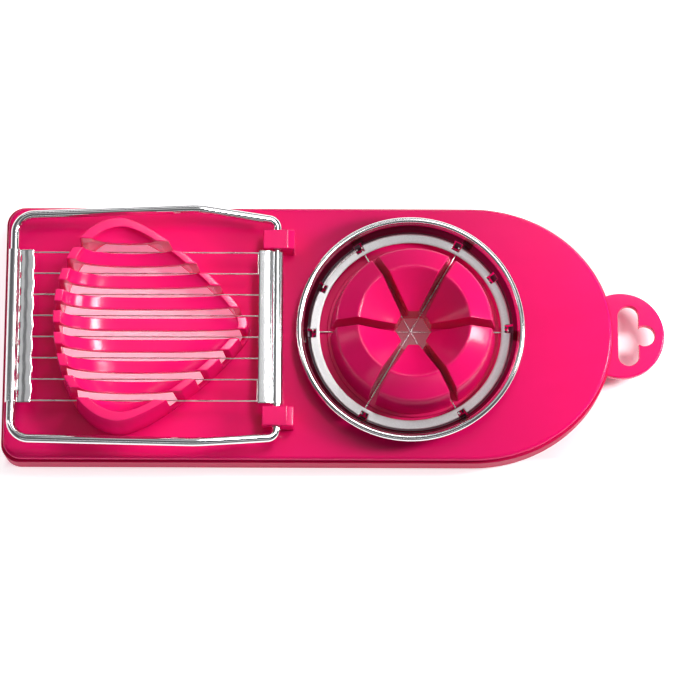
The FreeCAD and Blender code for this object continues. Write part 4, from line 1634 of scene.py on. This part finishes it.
@dataclass
class Studio:
    """The pale floor, the soft lights and the camera."""

    floor_size: float = 3.0
    floor_gap: float = 0.2 * MM
    distance: float = 0.95
    elevation: float = 77.5
    roll: float = 0.2
    target: Point = (0.7 * MM, -1.2 * MM, 12.0 * MM)
    frame_width: float = 219.4 * MM
    glow_heights: tuple[float, float] = (0.10, 0.42)
    low_glow: Point = (0.25, 0.25, 0.26)
    high_glow: Point = (0.11, 0.11, 0.115)
    softboxes: tuple[Softbox, ...] = (
        Softbox("near_right", (0.22, 0.01, 0.15), (0.05, 0.0, 0.01), (0.05, 0.10), 0.55),
        Softbox("high_back", (0.14, 0.28, 0.52), (0.03, 0.0, 0.01), (0.20, 0.20), 0.50),
        Softbox("overhead", (0.02, 0.14, 0.60), (0.02, 0.0, 0.0), (0.46, 0.26), 0.17),
        Softbox("gleam", (0.033, 0.052, 0.224), (-0.07, 0.0, 0.02), (0.085, 0.038), 0.030, 45.0),
        Softbox("strip_back", (-0.02, 0.36, 0.24), (0.0, 0.0, 0.01), (0.60, 0.05), 0.25),
        Softbox("strip_front", (-0.02, -0.32, 0.30), (0.0, 0.0, 0.01), (0.60, 0.04), 0.12),
        Softbox("strip_left", (-0.36, 0.0, 0.26), (0.0, 0.0, 0.01), (0.04, 0.40), 0.10))

    def floor(self) -> None:
        """Lay the floor just under the board."""
        half = self.floor_size / 2
        level = -self.floor_gap
        corners = [(-half, -half, level), (half, -half, level), (half, half, level), (-half, half, level)]
        sweep = new_piece("pale_sweep", corners, [(0, 1, 2, 3)])
        sweep.data.materials.append(PaleFloor().material())

    def lights(self) -> None:
        """Set the soft lights and the pale surroundings."""
        for softbox in self.softboxes:
            softbox.place_lamp()
        self.surroundings()

    def surroundings(self) -> None:
        """Fill the room with a glow that fades upwards."""
        world = bpy.data.worlds.new("pale_room")
        world.use_nodes = True
        nodes = world.node_tree.nodes
        links = world.node_tree.links
        way = nodes.new("ShaderNodeTexCoord")
        split = nodes.new("ShaderNodeSeparateXYZ")
        ramp = nodes.new("ShaderNodeValToRGB")
        low, high = ramp.color_ramp.elements
        low.position, high.position = self.glow_heights
        low.color, high.color = (*self.low_glow, 1.0), (*self.high_glow, 1.0)
        links.new(way.outputs["Generated"], split.inputs[0])
        links.new(split.outputs["Z"], ramp.inputs[0])
        links.new(ramp.outputs[0], nodes["Background"].inputs["Color"])
        nodes["Background"].inputs["Strength"].default_value = 1.0
        bpy.context.scene.world = world

    def camera(self) -> None:
        """Stand the camera nearly overhead, a little to the front."""
        lens = bpy.data.cameras.new("camera")
        lens.angle = 2 * math.atan(self.frame_width / 2 / self.distance)
        lens.clip_end = 10.0
        camera = bpy.data.objects.new("camera", lens)
        tilt = math.radians(self.elevation)
        target = Vector(self.target)
        camera.location = target + Vector((0, -math.cos(tilt), math.sin(tilt))) * self.distance
        looking = (target - camera.location).to_track_quat("-Z", "Y").to_matrix().to_4x4()
        camera.rotation_euler = (looking @ Matrix.Rotation(math.radians(self.roll), 4, "Z")).to_euler()
        bpy.context.scene.collection.objects.link(camera)
        bpy.context.scene.camera = camera

    def build(self) -> None:
        """Set up the whole studio."""
        self.floor()
        self.lights()
        self.camera()
        bpy.context.scene.view_settings.view_transform = "Standard"
        log.info("studio ready")


def main() -> None:
    """Build every sub-assembly in order."""
    logging.basicConfig(level=logging.INFO, format="%(name)s %(message)s")
    plastic = GlossPlastic("gloss_plastic").material()
    rod = DrawnSteel("plated_rod", roughness=0.07, lines=(1.0, 1.0, 1.0), line_scale=700.0).material()
    plate = DrawnSteel("pressed_strip", lines=(1.0, 0.03, 1.0), roughness=0.16).material()
    wire = DrawnSteel("drawn_wire", colour=(0.72, 0.71, 0.71), roughness=0.26, line_scale=4000.0).material()
    ring_middle = middle_of("ring_band")
    band = SpunSteel("spun_band", ring_middle.x, ring_middle.y).material()
    # The skirt's plastic is the tab's pink made darker as painted shade on its upright sides; its lower gloss
    # is its own.
    low_gloss_painted_shade = GlossPlastic("low_gloss_skirt_plastic_painted_shade", colour=(0.60, 0.007, 0.080), deep=(0.52, 0.005, 0.065),
                         roughness=0.38, specular=0.03, coat=0.0).material()
    cradle = Cradle(plastic)
    cup = WedgeCup(plastic)
    level = GlossPlastic("level_plastic", specular=0.15, coat=0.03).material()
    Board(level, low_gloss_painted_shade, plastic).build([cradle.loop(cradle.foot_scale, 60), cup.throat_outline()])
    cradle.build()
    cup.build()
    HingeHooks(plastic).build()
    WireFrame(rod, plate, wire).build()
    # The lips' colour and tarnish are both painted near black: painted shade in the notches, not the steel's
    # own colour.
    lip = DrawnSteel("shaded_lip", colour=(0.11, 0.09, 0.11), tarnish=(0.07, 0.06, 0.07),
                     roughness=0.30).material()
    WedgingRing(band, wire, lip).build()
    Studio().build()


if __name__ == "__main__":
    main()
